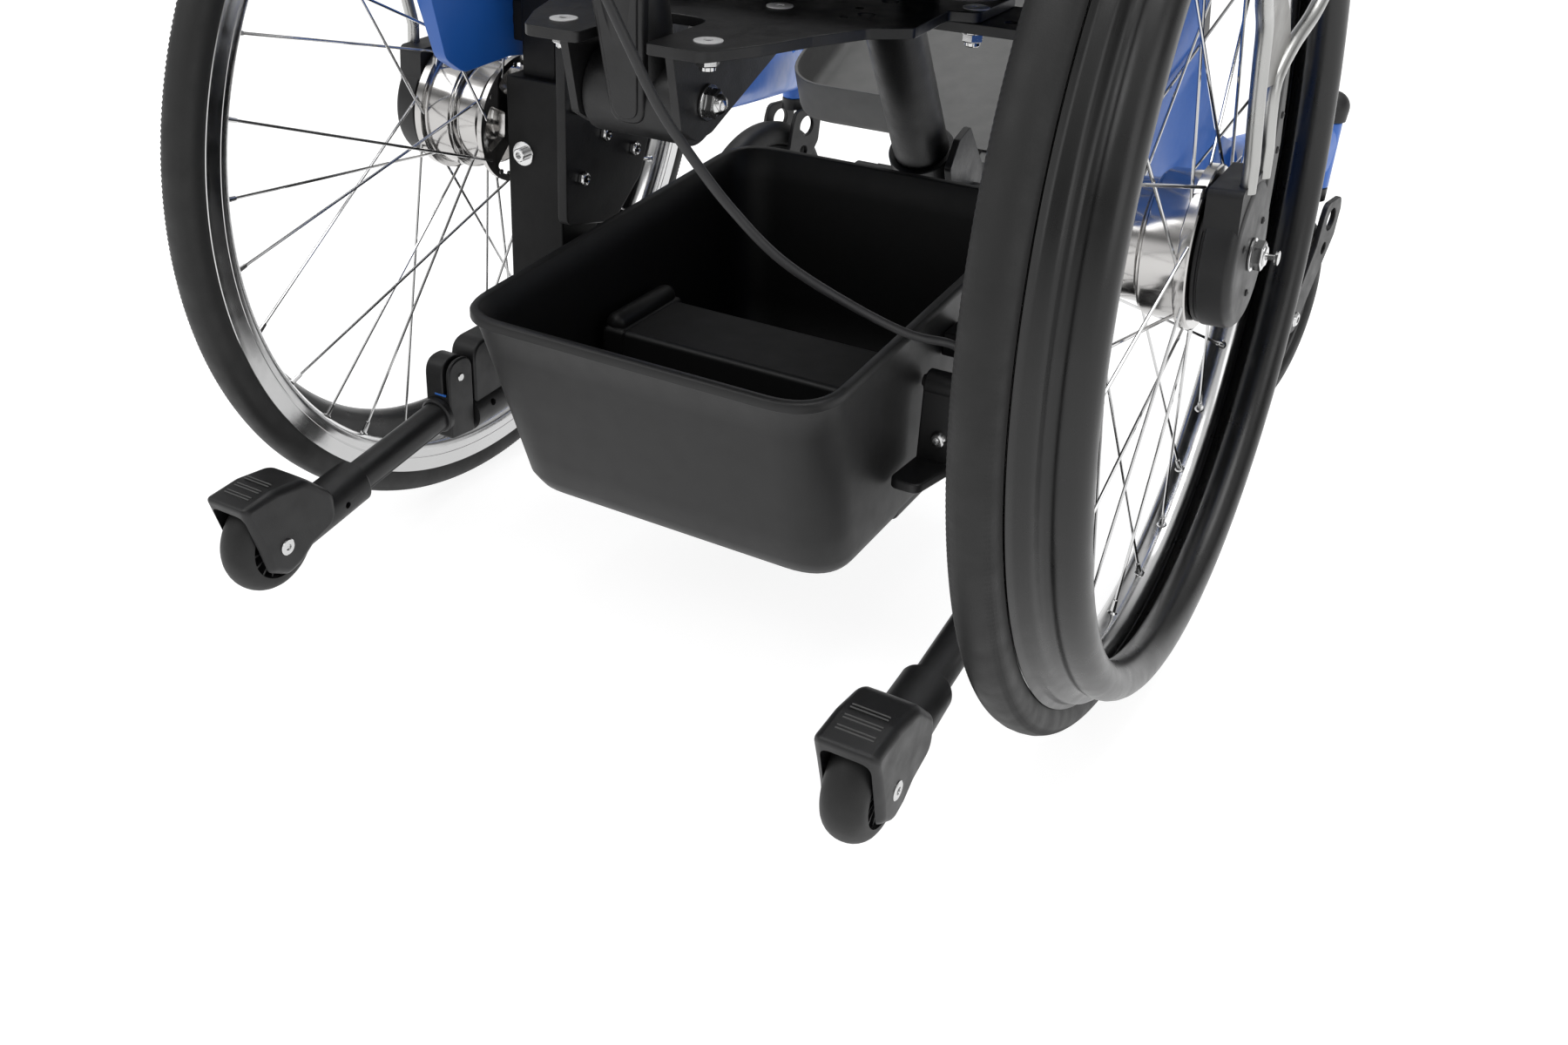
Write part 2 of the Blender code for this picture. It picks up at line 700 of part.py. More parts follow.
def caster_fork():
    outline = rounded([
        (CASTER_Y - 0.0165, crown_low + FORK_CROWN), (CASTER_Y - 0.0215, crown_low - 0.006),
        (CASTER_Y - 0.0195, 0.150), (wheel_y - 0.016, CASTER_RADIUS + 0.002),
        (wheel_y - 0.008, CASTER_RADIUS - 0.013), (wheel_y + 0.008, CASTER_RADIUS - 0.013),
        (wheel_y + 0.016, CASTER_RADIUS + 0.006), (CASTER_Y + 0.024, 0.150),
        (CASTER_Y + 0.0205, crown_low - 0.006), (CASTER_Y + 0.0165, crown_low + FORK_CROWN),
    ], 0.010, 1)
    far = fork_half + FORK_PLATE
    plates = [
        extrude(outline, "X", CASTER_X + fork_half, CASTER_X + far),
        extrude(outline, "X", CASTER_X - far, CASTER_X - fork_half),
    ]
    crown = box((CASTER_X - far + 0.001, CASTER_X + far - 0.001), (CASTER_Y - 0.0160, CASTER_Y + 0.0160),
                (crown_low, crown_low + FORK_CROWN - 0.0005))
    collar = rod((CASTER_X, CASTER_Y, crown_low + 0.002),
                 (CASTER_X, CASTER_Y, STEM_TUBE_LOW - GAP), COLLAR_RADIUS, 12)
    stem = rod((CASTER_X, CASTER_Y, crown_low + 0.002),
               (CASTER_X, CASTER_Y, STEM_TUBE_HIGH + 0.006), STEM_RADIUS, 10)
    knob = bmesh.new()
    bmesh.ops.create_uvsphere(knob, u_segments=12, v_segments=5, radius=KNOB_RADIUS)
    moved(knob, (CASTER_X, CASTER_Y, STEM_TUBE_HIGH + KNOB_RADIUS * 0.80))
    low_part = box((CASTER_X - 0.03, CASTER_X + 0.03), (CASTER_Y - 0.03, CASTER_Y + 0.03),
                   (STEM_TUBE_HIGH - 0.03, STEM_TUBE_HIGH + GAP))
    knob = cut(knob, low_part)
    axle = rod((CASTER_X - far - 0.003, wheel_y, CASTER_RADIUS),
               (CASTER_X + far + 0.003, wheel_y, CASTER_RADIUS), 0.0048, 8)
    fork = join(plates[0], plates[1], crown, collar, stem, knob, axle)
    holes = []
    for y, z, radius in ((CASTER_Y, 0.1685, 0.0100), (CASTER_Y + 0.003, 0.1430, 0.0055)):
        holes.append(rod((CASTER_X - 0.06, y, z), (CASTER_X + 0.06, y, z), radius, 8))
    return cut(fork, gathered(holes))


def caster_wheel():
    half = CASTER_WIDTH / 2
    r = CASTER_RADIUS
    wheel = turned([
        (-half * 0.85, 0.0048 + GAP), (-half * 0.85, 0.016), (-half * 0.30, 0.020),
        (-half * 0.30, r * 0.70),
        (-half * 0.96, r * 0.80), (-half * 0.66, r * 0.96), (0, r),
        (half * 0.66, r * 0.96), (half * 0.96, r * 0.80), (half * 0.30, r * 0.70),
        (half * 0.30, 0.020), (half * 0.85, 0.016), (half * 0.85, 0.0048 + GAP),
    ], 18)
    return moved(wheel, (CASTER_X, wheel_y, CASTER_RADIUS))


def swivelled(shape, side):
    """A caster stands turned a little about its stem."""
    about = Vector((side * CASTER_X, CASTER_Y, 0))
    turn = Matrix.Rotation(CASTER_TURN[side], 4, "Z")
    shape.transform(Matrix.Translation(about) @ turn @ Matrix.Translation(-about))
    return shape


for side, word in ((1, "left"), (-1, "right")):
    hub_spot = Matrix.Rotation(CASTER_TURN[side], 3, "Z") @ Vector((0, CASTER_TRAIL, 0))
    place(f"caster_fork_{word}", swivelled(for_side(caster_fork(), side), side), "black_powder",
          origin=(side * CASTER_X, CASTER_Y, STEM_TUBE_LOW))
    place(f"caster_wheel_{word}", swivelled(for_side(caster_wheel(), side), side), "tyre_rubber",
          origin=(side * CASTER_X + hub_spot.x, CASTER_Y + hub_spot.y, CASTER_RADIUS))

# Blue side frames
side_mid = SIDE_X + SIDE_THICK / 2
side_outline = rounded([
    (0.068, 0.3400), (0.018, 0.3415), (-0.035, 0.3350), (-0.085, 0.3050),
    (-0.140, 0.2700), (-0.200, 0.2450),
    (LEG_REAR_Y + 0.008, LEG_REAR_Z - LEG_HALF_HEIGHT - 0.001),
    (LEG_REAR_Y - 0.006, LEG_REAR_Z - LEG_HALF_HEIGHT),
    (LEG_REAR_Y - 0.006, LEG_REAR_Z + LEG_HALF_HEIGHT),
    (-0.200, 0.310), (-0.150, 0.352), (-0.110, 0.395), (-0.105, SIDE_TOP),
    (0.118, SIDE_TOP), (0.105, 0.420), (0.086, 0.352),
], [0.016, 0.03, 0.03, 0.03, 0.03, 0.03, 0.006, 0.002, 0.002,
    0.03, 0.03, 0.03, 0.012, 0.012, 0.03, 0.014], 1)


def side_frame():
    panel = extrude(side_outline, "X", SIDE_X, SIDE_X + SIDE_THICK, 0.003)
    lug = rod((COLUMN_OUTER_X + GAP, 0.002, 0.366), (SIDE_X + 0.004, 0.002, 0.366), 0.011, 14)
    hub = Vector((HUB_X, 0, HUB_Z))
    outward = Vector((math.cos(CAMBER), 0, math.sin(CAMBER)))
    spoke_space = rod(hub + outward * (HUB_INNER_FACE - 0.0010), hub - outward * 0.0010,
                      HUB_FLANGE_RADIUS + 0.0025, 40, 0.26)
    return cut(join(panel, lug), spoke_space)


def front_leg():
    leg = oval_tube(smooth_route([
        Vector((side_mid, LEG_REAR_Y + 0.010, LEG_REAR_Z)),
        Vector((side_mid + 0.008, -0.344, 0.2500)),
        Vector((CASTER_X - 0.012, -0.454, 0.2350)),
        Vector((CASTER_X, CASTER_Y + 0.002, LEG_FRONT_Z)),
    ], 0.05), LEG_HALF_WIDTH, LEG_END_HALF_WIDTH, LEG_HALF_HEIGHT)
    leg = cut(leg, box((0, 0.4), (-0.6, -0.4), (0.10, STEM_TUBE_LOW + 0.001)),
              box((0, 0.4), (-0.6, -0.46), (STEM_TUBE_HIGH - 0.001, 0.4)),
              box((0, 0.4), (LEG_REAR_Y - 0.006 - GAP, 0.0), (0.10, 0.4)))
    housing = rod((CASTER_X, CASTER_Y, STEM_TUBE_LOW), (CASTER_X, CASTER_Y, STEM_TUBE_HIGH),
                  STEM_TUBE_RADIUS, 14)
    leg = join(leg, housing)
    bore = rod((CASTER_X, CASTER_Y, STEM_TUBE_LOW - 0.02), (CASTER_X, CASTER_Y, STEM_TUBE_HIGH + 0.02),
               STEM_RADIUS + GAP, 18)
    return cut(leg, bore)


for side, word in ((1, "left"), (-1, "right")):
    place(f"side_frame_{word}", for_side(side_frame(), side), "blue_paint")
    place(f"front_leg_{word}", for_side(front_leg(), side), "blue_paint")

# Axle columns
plate_low = PLATE_TOP - PLATE_THICK
bar_top = plate_low - GAP
bar_low = bar_top - CROSS_BAR_THICK
plate_in = COLUMN_INNER_X - GAP - AXLE_PLATE_THICK
plate_bolts = [(0.019, 0.315), (-0.017, 0.288), (-0.055, 0.268), (0.011, 0.262)]


def axle_line(radius, start, end, sides=12):
    """A cylinder along the cambered left axle."""
    shape = rod((start, 0, 0), (end, 0, 0), radius, sides)
    shape.transform(Matrix.Translation((HUB_X, 0, HUB_Z)) @ Matrix.Rotation(-CAMBER, 4, "Y"))
    return shape


def axle_column():
    body = box((COLUMN_INNER_X, COLUMN_OUTER_X), (COLUMN_FRONT_Y, COLUMN_REAR_Y),
               (COLUMN_LOW, COLUMN_TOP), 0.003)
    neck = box((NECK_INNER_X, NECK_OUTER_X), (COLUMN_FRONT_Y + 0.004, COLUMN_REAR_Y - 0.008),
               (COLUMN_TOP - 0.01, bar_low - GAP))
    arm = box((NECK_OUTER_X - 0.004, COLUMN_OUTER_X), (-0.010, 0.014), (0.352, 0.380))
    shelf_z = (0.196, 0.212)
    wall_x = BASKET_HALF_TOP + (BASKET_HALF_LOW - BASKET_HALF_TOP) * 0.1
    bracket = box((wall_x + 0.001, COLUMN_INNER_X + 0.004), (-0.012, 0.012), shelf_z)
    sunk = COLUMN_REAR_Y - 0.004
    bolt_x = COLUMN_OUTER_X - 0.014
    head = join(rod((bolt_x, sunk, 0.276), (bolt_x, COLUMN_REAR_Y + 0.0012, 0.276), 0.0088, 14),
                rod((bolt_x, sunk, 0.276), (bolt_x, COLUMN_REAR_Y + 0.0062, 0.276), 0.0050, 12))
    body = join(body, neck, arm, bracket, head)
    return cut(body, axle_line(AXLE_RADIUS + GAP, -0.2, 0.0))


def axle_plate():
    outline = rounded([
        (COLUMN_REAR_Y + 0.006, 0.365), (COLUMN_REAR_Y + 0.006, 0.232), (-0.030, 0.218),
        (-0.066, 0.245), (-0.078, 0.275), (-0.050, 0.330), (-0.030, 0.365),
    ], 0.008, 1)
    body = extrude(outline, "X", plate_in, plate_in + AXLE_PLATE_THICK)
    heads = []
    for y, z in plate_bolts:
        heads.append(rod((plate_in - BOLT_HEAD, y, z), (plate_in + 0.003, y, z), BOLT_HEAD_RADIUS, 8))
    body = join(body, *heads)
    return cut(body, axle_line(AXLE_RADIUS + GAP + 0.0005, -0.2, 0.0))


for side, word in ((1, "left"), (-1, "right")):
    place(f"axle_column_{word}", for_side(axle_column(), side), "black_powder")
    place(f"axle_plate_{word}", for_side(axle_plate(), side), "black_powder")

# Seat plate and cross bar
tab_screws = [(0.1275, 0.012)]
nut_spots = [(0.0456, 0.180)]
plate_holes = [(0.078, 0.030, 0.0050), (0.084, 0.0725, 0.0050)]
PLATE_FRONT_Y = -0.190
half_plate = [
    (NOTCH_HALF, WING_REAR_Y), (WING_HALF, WING_REAR_Y), (0.072, 0.172), (0.084, 0.138),
    (0.100, 0.104), (0.120, 0.088), (0.117, 0.034), (0.134, 0.030), (0.134, -0.030),
    (0.117, -0.036), (0.117, PLATE_FRONT_Y),
]
half_radii = [0.004, 0.010, 0.02, 0.02, 0.01, 0.004, 0.003, 0.006, 0.006, 0.004, 0.012]


def seat_plate():
    right = [(-x, y) for x, y in half_plate]
    outline = rounded(
        half_plate + right[::-1] + [(-NOTCH_HALF, NOTCH_FRONT_Y), (NOTCH_HALF, NOTCH_FRONT_Y)],
        half_radii + half_radii[::-1] + [0.016, 0.016], 1,
    )
    body = extrude(outline, "Z", plate_low, PLATE_TOP)
    nuts = [
        hexagon((sign * x, y), 0.0062, "Z", plate_low - 0.0115, plate_low + 0.001)
        for x, y in nut_spots for sign in (1, -1)
    ]
    holes = [rod((sign * x, y, 0.39), (sign * x, y, 0.43), r, 10)
             for x, y, r in plate_holes for sign in (1, -1)]
    return cut(join(body, gathered(nuts)), gathered(holes))


def cross_bar():
    body = box((-COLUMN_OUTER_X, COLUMN_OUTER_X), (CROSS_BAR_FRONT_Y, CROSS_BAR_REAR_Y),
               (bar_low, bar_top), 0.0015)
    nuts = [hexagon((sign * x, y), 0.0068, "Z", bar_low - 0.0075, bar_low + 0.001)
            for x, y in tab_screws for sign in (1, -1)]
    cuts = []
    for sign in (1, -1):
        for x, y in ((0.147, 0.014), (0.163, 0.014), (0.179, 0.014)):
            cuts.append(rod((sign * x, y, 0.38), (sign * x, y, 0.43), 0.0035, 6))
    return cut(join(body, gathered(nuts)), gathered(cuts))


place("seat_plate", seat_plate(), "black_powder")
place("seat_cross_bar", cross_bar(), "black_powder")

# Back pivot and post
gusset_in = PIVOT_HALF + 0.0005
gusset_top = plate_low - GAP


def gusset():
    outline = rounded([
        (PIVOT_Y + 0.036, gusset_top), (PIVOT_Y + 0.026, PIVOT_Z - 0.010),
        (PIVOT_Y + 0.010, PIVOT_Z - 0.0195), (PIVOT_Y - 0.006, PIVOT_Z - 0.0180),
        (PIVOT_Y - 0.030, PIVOT_Z - 0.008), (PIVOT_Y - 0.125, gusset_top),
    ], [0.001, 0.006, 0.008, 0.010, 0.014, 0.001], 2)
    body = extrude(outline, "X", gusset_in, gusset_in + GUSSET_THICK)
    return cut(body, rod((0, PIVOT_Y, PIVOT_Z), (0.1, PIVOT_Y, PIVOT_Z), PIVOT_BOLT_RADIUS + GAP, 12))


bolt_face = gusset_in + GUSSET_THICK + GAP


def pivot_bolt():
    body = rod((-bolt_face - 0.012, PIVOT_Y, PIVOT_Z), (bolt_face + 0.004, PIVOT_Y, PIVOT_Z),
               PIVOT_BOLT_RADIUS, 12)
    return join(
        body,
        rod((-bolt_face - 0.0016, PIVOT_Y, PIVOT_Z), (-bolt_face, PIVOT_Y, PIVOT_Z), 0.0100, 12),
        hexagon((PIVOT_Y, PIVOT_Z), NUT_RADIUS, "X", -bolt_face - 0.009, -bolt_face - 0.001, 0.2),
        rod((bolt_face, PIVOT_Y, PIVOT_Z), (bolt_face + 0.0055, PIVOT_Y, PIVOT_Z), 0.0078, 12),
    )


post_way = Vector((0, math.sin(POST_LEAN), math.cos(POST_LEAN)))
pivot = Vector((0, PIVOT_Y, PIVOT_Z))


def back_post():
    barrel = rod((-PIVOT_HALF, PIVOT_Y, PIVOT_Z), (PIVOT_HALF, PIVOT_Y, PIVOT_Z), PIVOT_RADIUS, 18)
    foot = pivot + Vector((0, POST_SHIFT, 0))
    post = rod(foot, foot + post_way * POST_LENGTH, POST_RADIUS, 14, 0.0165)
    rib = extrude(rounded([
        (-0.0105, 0.0), (0.0105, 0.0), (0.0190, 0.100), (-0.0190, 0.100),
    ], [0.0095, 0.0095, 0.004, 0.004], 1), "Y", 0.010, PIVOT_RADIUS + 0.003, 0.002)
    rib = tilted(moved(rib, pivot - Vector((0, 0, 0.008))), -POST_LEAN * 0.6, pivot)
    low_cut = box((-0.1, 0.1), (PIVOT_Y - 0.1, PIVOT_Y + 0.1), (0.3, PIVOT_Z - 0.005))
    post = cut(post, low_cut)
    ears = [
        moved(box((-0.045, 0.045), (-0.050, 0.0), (height, height + 0.020)), pivot)
        for height in (BACK_LOW + 0.060, BACK_HIGH - 0.080)
    ]
    for ear in ears:
        tilted(ear, -POST_LEAN, pivot)
    post = join(barrel, post, rib, *ears)
    return cut(post, rod((-0.1, PIVOT_Y, PIVOT_Z), (0.1, PIVOT_Y, PIVOT_Z), PIVOT_BOLT_RADIUS + GAP, 12))


def back_shell():
    outline = rounded([(-BACK_HALF, BACK_LOW), (BACK_HALF, BACK_LOW), (BACK_HALF * 0.9, BACK_HIGH),
                       (-BACK_HALF * 0.9, BACK_HIGH)], 0.035, 4)
    body = extrude(outline, "Y", -0.050 - GAP - BACK_SHELL_THICK, -0.050 - GAP, 0.0015)
    return tilted(moved(body, pivot), -POST_LEAN, pivot)


def pillow(width, length, height, crown, steps=8, corner=5.0):
    """A cushion: a rounded block with drawn-in sides, a crowned top and two shallow channels."""
    shape = bmesh.new()
    rows = []
    for inset, z in ((0.006, 0.0), (0.0, 0.18), (0.0, 0.62), (0.008, 0.88)):
        ring = []
        for k in range(steps * 4):
            angle = k * math.tau / (steps * 4)
            c, s = math.cos(angle), math.sin(angle)
            grow = (abs(c) ** corner + abs(s) ** corner) ** (-1 / corner)
            spot = ((width / 2 - inset) * grow * c, (length / 2 - inset) * grow * s, z * height)
            ring.append(shape.verts.new(spot))
        rows.append(ring)
    for low, high in zip(rows, rows[1:]):
        for k in range(len(low)):
            n = (k + 1) % len(low)
            shape.faces.new((low[k], low[n], high[n], high[k]))
    shape.faces.new(rows[0][::-1])
    previous = rows[-1]
    for share in (0.86, 0.66, 0.42, 0.2):
        ring = []
        for vert in rows[-1]:
            x, y = vert.co.x * share, vert.co.y * share
            dip = 0.0035 * math.exp(-((abs(y) - length * 0.17) / 0.008) ** 2)
            rise = height * 0.88 + (height * 0.12 + crown) * (1 - share ** 2)
            ring.append(shape.verts.new((x, y, rise - dip)))
        for k in range(len(ring)):
            n = (k + 1) % len(ring)
            shape.faces.new((previous[k], previous[n], ring[n], ring[k]))
        previous = ring
    top = shape.verts.new((0, 0, height + crown))
    for k in range(len(previous)):
        shape.faces.new((previous[k], previous[(k + 1) % len(previous)], top))
    return shape


def back_cushion():
    body = pillow(BACK_HALF * 2 - 0.03, BACK_HIGH - BACK_LOW - 0.02, BACK_PAD - 0.004, 0.004)
    face_y = -0.050 - 2 * GAP - BACK_SHELL_THICK
    place_at = Matrix.Translation((0, face_y, (BACK_LOW + BACK_HIGH) / 2))
    body.transform(place_at @ Matrix.Rotation(math.pi / 2, 4, "X"))
    return tilted(moved(body, pivot), -POST_LEAN, pivot)


def push_bar():
    seat = pivot + Vector((0, POST_SHIFT, 0)) + post_way * (POST_LENGTH + GAP)
    middle = seat + post_way * (PUSH_BAR_RADIUS + 0.003)
    y, z = middle.y, middle.z
    half = [(0, y, z), (PUSH_HALF * 0.55, y, z), (PUSH_HALF - 0.012, y + 0.006, z + 0.004),
            (PUSH_HALF, y + 0.030, z + 0.014), (PUSH_HALF, y + 0.060, z + 0.022),
            (PUSH_HALF, y + 0.165, z + 0.040)]
    route = [(-a, b, c) for a, b, c in half[:0:-1]] + half
    body = tube(smooth_route(route, 0.05), PUSH_BAR_RADIUS, 1)
    grips = []
    for sign in (1, -1):
        start = Vector((sign * PUSH_HALF, y + 0.062, z + 0.0224))
        end = Vector((sign * PUSH_HALF, y + 0.170, z + 0.0409))
        grips.append(rod(start, end, 0.0155, 14))
    saddle = rod(seat, middle + post_way * 0.002, 0.0175, 16)
    return join(body, *grips, saddle)


place("pivot_gusset_left", gusset(), "black_powder")
place("pivot_gusset_right", for_side(gusset(), -1), "black_powder")
place("pivot_bolt", pivot_bolt(), "chrome")
place("back_post", back_post(), "black_powder", origin=pivot)
place("back_shell", back_shell(), "black_plastic", origin=pivot)
place("back_cushion", back_cushion(), "fabric", origin=pivot, angle=60)
place("push_bar", push_bar(), "black_powder", origin=pivot)

# Seat
shell_top = SEAT_SHELL_LOW + SEAT_SHELL_THICK


def seat_shell():
    outline = rounded([(-SEAT_HALF, SEAT_FRONT_Y), (SEAT_HALF, SEAT_FRONT_Y), (SEAT_HALF, SEAT_REAR_Y),
                       (-SEAT_HALF, SEAT_REAR_Y)], 0.030, 3)
    body = extrude(outline, "Z", SEAT_SHELL_LOW, shell_top)
    feet = [rod((x, y, PLATE_TOP + GAP), (x, y, SEAT_SHELL_LOW + 0.002), 0.012, 8)
            for x in (-0.085, 0.085) for y in (-0.150, 0.000)]
    return join(body, gathered(feet))


def seat_cushion():
    body = pillow(SEAT_HALF * 2 - 0.006, SEAT_REAR_Y - SEAT_FRONT_Y - 0.006, CUSHION_HEIGHT - 0.005, 0.005)
    return moved(body, (0, (SEAT_REAR_Y + SEAT_FRONT_Y) / 2, shell_top + GAP))


place("seat_shell", seat_shell(), "black_plastic")
place("seat_cushion", seat_cushion(), "fabric", angle=60)

# Inclined tube, front cross tube, tray hanger
lift_low = Vector((0, LIFT_LOW_Y, LIFT_LOW_Z))
lift_high = Vector((0, LIFT_TOP_Y, plate_low))
lift_way = (lift_high - lift_low).normalized()


def lift_tube():
    body = rod(lift_low, lift_high + lift_way * 0.05, LIFT_RADIUS, 16)
    return cut(body, box((-0.1, 0.1), (-0.5, 0.5), (plate_low - GAP, 0.6)))


def front_cross_tube():
    body = rod((-CROSS_TUBE_HALF, CROSS_TUBE_Y, CROSS_TUBE_Z), (CROSS_TUBE_HALF, CROSS_TUBE_Y, CROSS_TUBE_Z),
               CROSS_TUBE_RADIUS, 16)
    cup = rod(lift_low - lift_way * 0.016, lift_low + lift_way * 0.030, LIFT_RADIUS + 0.0045, 16)
    cheek_outline = rounded([
        (-0.288, 0.190), (-0.228, 0.205), (-0.208, 0.246), (-0.222, 0.266), (-0.242, 0.272), (-0.276, 0.236),
    ], 0.005, 1)
    cheek = extrude(cheek_outline, "X", -LIFT_RADIUS - 0.015, -LIFT_RADIUS - 0.0095)
    bridge = box((-LIFT_RADIUS - 0.011, -LIFT_RADIUS + 0.004), (-0.262, -0.240), (0.205, 0.232))
    body = join(body, cup, cheek, bridge)
    hole = rod(lift_low - lift_way * GAP, lift_low + lift_way * 0.2, LIFT_RADIUS + GAP, 16)
    return cut(body, hole)


tray_pivot = Vector((0, TRAY_REAR_Y + 0.004, TRAY_LOW - 0.012))
hinge_radius = 0.0045


def tray_hanger():
    seat_y = CROSS_TUBE_Y - CROSS_TUBE_RADIUS - GAP
    outline = [
        (tray_pivot.y - 0.0070, tray_pivot.z - 0.012), (seat_y - 0.004, tray_pivot.z - 0.012),
        (seat_y, tray_pivot.z - 0.004), (seat_y, CROSS_TUBE_Z + 0.009),
        (seat_y - 0.008, CROSS_TUBE_Z + 0.009),
        (seat_y - 0.024, tray_pivot.z + 0.0015), (tray_pivot.y - 0.0070, tray_pivot.z + 0.0015),
    ]
    rails = [extrude(outline, "X", x - 0.008, x + 0.008) for x in HANGER_RAILS]
    hinge_rod = rod((HANGER_RAILS[0] - 0.015, tray_pivot.y, tray_pivot.z),
                    (HANGER_RAILS[1] + 0.015, tray_pivot.y, tray_pivot.z), hinge_radius, 12)
    return join(rails[0], rails[1], hinge_rod)


def foot_tray():
    y0, y1 = TRAY_REAR_Y - TRAY_DEPTH, TRAY_REAR_Y
    inset = TRAY_SHEET
    outer = rounded([(TRAY_RIGHT, y0), (TRAY_LEFT, y0), (TRAY_LEFT, y1), (TRAY_RIGHT, y1)], TRAY_CORNER, 3)
    inner = rounded([(TRAY_RIGHT + inset, y0 + inset), (TRAY_LEFT - inset, y0 + inset),
                     (TRAY_LEFT - inset, y1 - inset), (TRAY_RIGHT + inset, y1 - inset)],
                    TRAY_CORNER - inset, 3)
    body = extrude(outer, "Z", TRAY_LOW, TRAY_LOW + TRAY_WALL)
    body = cut(body, extrude(inner, "Z", TRAY_LOW + inset, TRAY_LOW + 0.2))
    notch_outline = rounded([(-0.030, TRAY_LOW + inset), (-0.050, TRAY_LOW + 0.2), (0.080, TRAY_LOW + 0.2),
                             (0.062, TRAY_LOW + inset)], [0.006, 0.0, 0.0, 0.006], 2)
    notch = extrude(notch_outline, "Y", y1 - 0.02, y1 + 0.02)
    front = box((-0.3, 0.3), (y0 - 0.02, y0 + 0.03), (TRAY_LOW + 0.012, TRAY_LOW + 0.2))
    body = cut(body, notch, front)
    knuckles = [
        box((x - 0.010, x + 0.010), (y1 - 0.022, tray_pivot.y + 0.008),
            (tray_pivot.z - 0.008, TRAY_LOW + 0.001), 0.0015)
        for x in (0.0035, 0.0265)
    ]
    body = join(body, *knuckles)
    body = tilted(body, -TRAY_TILT, tray_pivot)
    bore = rod((-0.1, tray_pivot.y, tray_pivot.z), (0.1, tray_pivot.y, tray_pivot.z), hinge_radius + GAP, 12)
    return cut(body, bore)


place("lift_tube", lift_tube(), "black_powder")
place("front_cross_tube", front_cross_tube(), "black_powder")
place("tray_hanger", tray_hanger(), "black_powder")
place("foot_tray", foot_tray(), "tray_plastic", origin=tray_pivot)

# Basket
def basket():
    def ring(shape, inset, z, share, lift=0.0):
        half = BASKET_HALF_TOP + (BASKET_HALF_LOW - BASKET_HALF_TOP) * share - inset
        rear = BASKET_REAR_TOP + (BASKET_REAR_LOW - BASKET_REAR_TOP) * share - inset
        front = BASKET_FRONT_TOP + (BASKET_FRONT_LOW - BASKET_FRONT_TOP) * share + inset
        outline = rounded([(-half, front), (half, front), (half, rear), (-half, rear)],
                          max(BASKET_CORNER - inset, 0.004), 2)
        shift = BASKET_LOW_SHIFT * share
        return [shape.verts.new((x + shift, y, z + lift * (BASKET_REAR_TOP - y))) for x, y in outline]

    shape = bmesh.new()
    floor = BASKET_LOW + BASKET_WALL
    height = BASKET_TOP - BASKET_LOW
    rings = [
        ring(shape, 0.010, BASKET_LOW, 1.0),
        ring(shape, 0.0015, BASKET_LOW + 0.004, 1.0),
        ring(shape, 0.0, BASKET_LOW + 0.012, 1 - 0.012 / height),
        ring(shape, 0.0, BASKET_TOP - 0.009, 0.03, BASKET_SLOPE),
        ring(shape, -0.003, BASKET_TOP - 0.006, 0.0, BASKET_SLOPE),
        ring(shape, -0.003, BASKET_TOP, 0.0, BASKET_SLOPE),
        ring(shape, BASKET_WALL, BASKET_TOP, 0.0, BASKET_SLOPE),
        ring(shape, BASKET_WALL, floor + 0.010, 1 - 0.012 / height),
        ring(shape, BASKET_WALL + 0.008, floor, 1.0),
    ]
    for low, high in zip(rings, rings[1:]):
        for k in range(len(low)):
            n = (k + 1) % len(low)
            shape.faces.new((low[k], low[n], high[n], high[k]))
    shape.faces.new(rings[0][::-1])
    shape.faces.new(rings[-1])
    bmesh.ops.recalc_face_normals(shape, faces=shape.faces)
    share = 1 - (BASKET_SHELF_TOP - BASKET_LOW) / height
    wall_top = -BASKET_HALF_TOP + (BASKET_HALF_TOP - BASKET_HALF_LOW + BASKET_LOW_SHIFT) * share
    wall_low = -BASKET_HALF_LOW + BASKET_LOW_SHIFT
    shelf = extrude([
        (wall_low + BASKET_WALL / 2, floor - 0.001), (BASKET_SHELF_X, floor - 0.001),
        (BASKET_SHELF_X, BASKET_SHELF_TOP), (wall_top + BASKET_WALL / 2, BASKET_SHELF_TOP),
    ], "Y", BASKET_SHELF_FRONT_Y, BASKET_SHELF_REAR_Y)
    rib_x = BASKET_SHELF_X + 0.0095
    stand = box((BASKET_SHELF_X - 0.002, rib_x + 0.008),
                (BASKET_SHELF_FRONT_Y - 0.010, BASKET_SHELF_REAR_Y - 0.002),
                (floor - 0.001, BASKET_SHELF_TOP - 0.001))
    rib = rod((rib_x, BASKET_SHELF_FRONT_Y - 0.010, BASKET_SHELF_TOP),
              (rib_x, BASKET_SHELF_REAR_Y, BASKET_SHELF_TOP), 0.0080, 16)
    return join(shape, shelf, stand, rib)


place("basket", basket(), "basket_plastic")

# Anti-tip arms
tip_way = Vector((0, math.cos(TIP_SLOPE), -math.sin(TIP_SLOPE)))
tube_line = Vector((TIP_X, 0.112, 0.1010))
pin_bore = 0.0030
collar_y = 0.2275


def on_arm(y):
    """The point of the arm's centre line at a Y value."""
    return tube_line + tip_way * ((y - tube_line.y) / tip_way.y)


def across(y, z, radius, low, high, sides=12):
    """A cylinder along X between two distances from the arm's middle plane."""
    return rod((TIP_X + low, y, z), (TIP_X + high, y, z), radius, sides)


